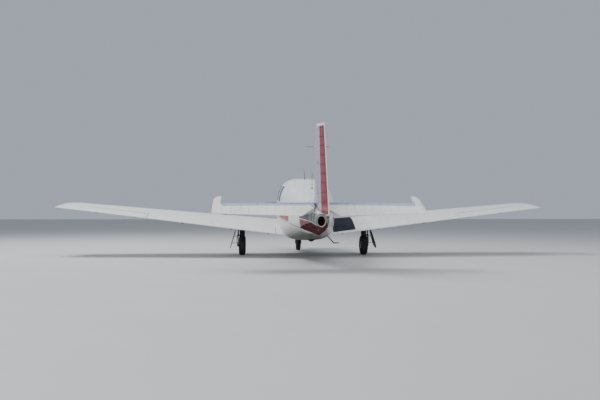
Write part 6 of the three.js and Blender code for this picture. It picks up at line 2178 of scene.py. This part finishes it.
clear_lens = lens("clear_lens", (0.85, 0.85, 0.82))
tail_light = curve([(0.0160, 0), (0.0155, 0.008), (0.0125, 0.016), (0.007, 0.021), (0.0006, 0.023)], 20)
foot_turn = math.radians(rudder_rest)
light_back = np.array([math.sin(foot_turn), -math.cos(foot_turn), 0])
light_at = rudder_line[0] + light_back * 0.350 + [0, 0, 0.004]
light_profile = [(0.006, -0.030), (0.013, -0.012), (0.0165, 0.010), (0.0165, 0.042)]
light_glass = lathe(tail_light, light_at + light_back * 0.0423, light_back, 32)
piece("tail_light_body", lathe(light_profile, light_at, light_back, 32), white_enamel, "rudder")
piece("tail_light_glass", light_glass, clear_lens, "rudder")
tie_y = -3.560
tie_top = skin_z(0, tie_y, False) + fairing_wall / 2
tie_outline = rounded([[-0.016, 0], [0.016, 0], [0.013, -0.026], [-0.013, -0.026]], 0.007)
tie = cut(prism(tie_outline, -0.004, 0.004), rod([-0.1, 0, -0.014], [0.1, 0, -0.014], 0.0065, 20))
piece("tail_tie_ring", tie.moved(0, tie_y, tie_top), steel_look, "tail_unit")

# Two whip aerials: a tapered rod on a turned foot with a rubber boot.
boot = [(0.022, -0.012), (0.022, 0.003), (0.0185, 0.008), (0.010, 0.0135), (0.0062, 0.030), (0.0048, 0.034)]
for name, x, y, tip in (("roof_aerial", 0, -0.350, (-0.022, -0.400, 0.950)),
                        ("tail_cone_aerial", 0.040, -1.790, (0.034, -1.850, 0.850))):
    foot = np.array([x, y, skin_z(x, y)])
    path = curve([foot + [0, 0, 0.006], (foot + tip) / 2 + [0, -0.006, 0], tip], 30)
    piece(name + "_foot", lathe(boot, foot, upwards, 32), seal_look, "airframe", name)
    piece(name + "_rod", tube(path, np.linspace(0.0055, 0.0034, 30)), black_look, "airframe")

nav_y, nav_z, nav_reach = -3.260, 1.295, 0.205
nav_end = [(0.0056, 0), (0.0078, 0.002), (0.0078, 0.006), (0.0056, 0.008)]
nav = join(
    rod([-nav_reach + 0.003, nav_y, nav_z], [nav_reach - 0.003, nav_y, nav_z], 0.0060, 16),
    *[lathe(nav_end, (side * (nav_reach - 0.0082), nav_y, nav_z), (side, 0, 0), 16) for side in (-1, 1)],
)
nav_look = bare_metal("bare_aluminium", (0.34, 0.33, 0.32), 0.5)
piece("nav_aerial_rods", nav, nav_look, "tail_unit", "nav_aerial")
collar_profile = [(0.013, 0), (0.013, 0.014), (0.0085, 0.020), (0.0045, 0.032)]
collar = lathe(collar_profile, (0.020, nav_y, nav_z), starboard, 24)
both_sides("nav_aerial_collar_{side}", collar, white_enamel, "tail_unit")

dome_centre, dome_size = np.array([0.070, -1.290, -0.522]), np.array([0.070, 0.120, 0.062])
lengthwise = np.linspace(0.03, math.pi - 0.03, 36)[:, None]
round_it = full_turn(48)
ball = np.stack(np.broadcast_arrays(np.sin(lengthwise) * np.cos(round_it), np.cos(lengthwise),
                                    np.sin(lengthwise) * np.sin(round_it)), -1)
dome = cut(loft(ball * dome_size + dome_centre), fuselage_all)
flange_outline = np.column_stack([np.cos(round_it), np.sin(round_it)]) * [0.084, 0.138] + dome_centre[:2]
flange = common(
    cut(fuselage(-1.1, -1.5, -0.0025), fuselage(-1.09, -1.51, -0.0004)),
    prism(flange_outline, -0.8, -0.3, "xy"),
)
piece("belly_dome_shell", join(dome, flange), dark_look, "airframe", "belly_dome")

# Boarding step: a bent tube with a ridged tread.

step_y = -1.400
step_bends = [(0.330, -0.380), (0.400, -0.456), (0.470, -0.533), (0.512, -0.580), (0.532, -0.596),
              (0.556, -0.600), (0.600, -0.600), (0.628, -0.600)]
step_path = curve([(x, step_y, z) for x, z in step_bends], 60)
tread = prism(rectangle(0.515, 0.640, step_y - 0.045, step_y + 0.045, 0.012), -0.606, -0.594, "xy")
ridges = [box((x - 0.003, x + 0.003), (step_y - 0.040, step_y + 0.040), (-0.595, -0.5915))
          for x in np.arange(0.530, 0.630, 0.0155)]
step = cut(join(tube(step_path, 0.0118, 24), tread, *ridges), fuselage_all)
piece("boarding_step_tube", step, black_look, "airframe", "boarding_step")


# Stage.

def stage():
    """A pale floor and soft light from above, the left and the right."""
    bpy.ops.mesh.primitive_plane_add(size=200)
    floor = bpy.context.object
    floor.name = "floor"
    look = Look("floor", (0.56, 0.56, 0.55), 0.8)
    look.over(look.noise(0.9, 4).ramp(0.3, 0.8) * 0.25, (0.50, 0.50, 0.49))
    look.rough(look.noise(2.2, 4), 0.75, 0.9)
    floor.data.materials.append(look.made())
    for name, place, size, power in (
        ("key", (-9, forward_shift + 3, 13), 6, 1900),
        ("fill", (10, forward_shift - 11, 7), 9, 420),
        ("rear", (-5, forward_shift - 13, 6), 8, 480),
        ("top", (2, forward_shift, 12), 10, 500),
    ):
        data = bpy.data.lights.new(name, "AREA")
        data.size = size
        data.energy = power
        lamp = bpy.data.objects.new(name, data)
        bpy.context.scene.collection.objects.link(lamp)
        lamp.location = place
        aim = Vector((0, forward_shift, 0.8)) - Vector(place)
        lamp.rotation_euler = aim.to_track_quat("-Z", "Y").to_euler()
    world = bpy.data.worlds.new("world")
    bpy.context.scene.world = world
    world.use_nodes = True
    world.node_tree.nodes["Background"].inputs["Color"].default_value = (0.72, 0.80, 0.92, 1)
    world.node_tree.nodes["Background"].inputs["Strength"].default_value = 0.55


stage()
bpy.context.scene.collection.children.unlink(workbench)
bpy.data.collections.remove(workbench)
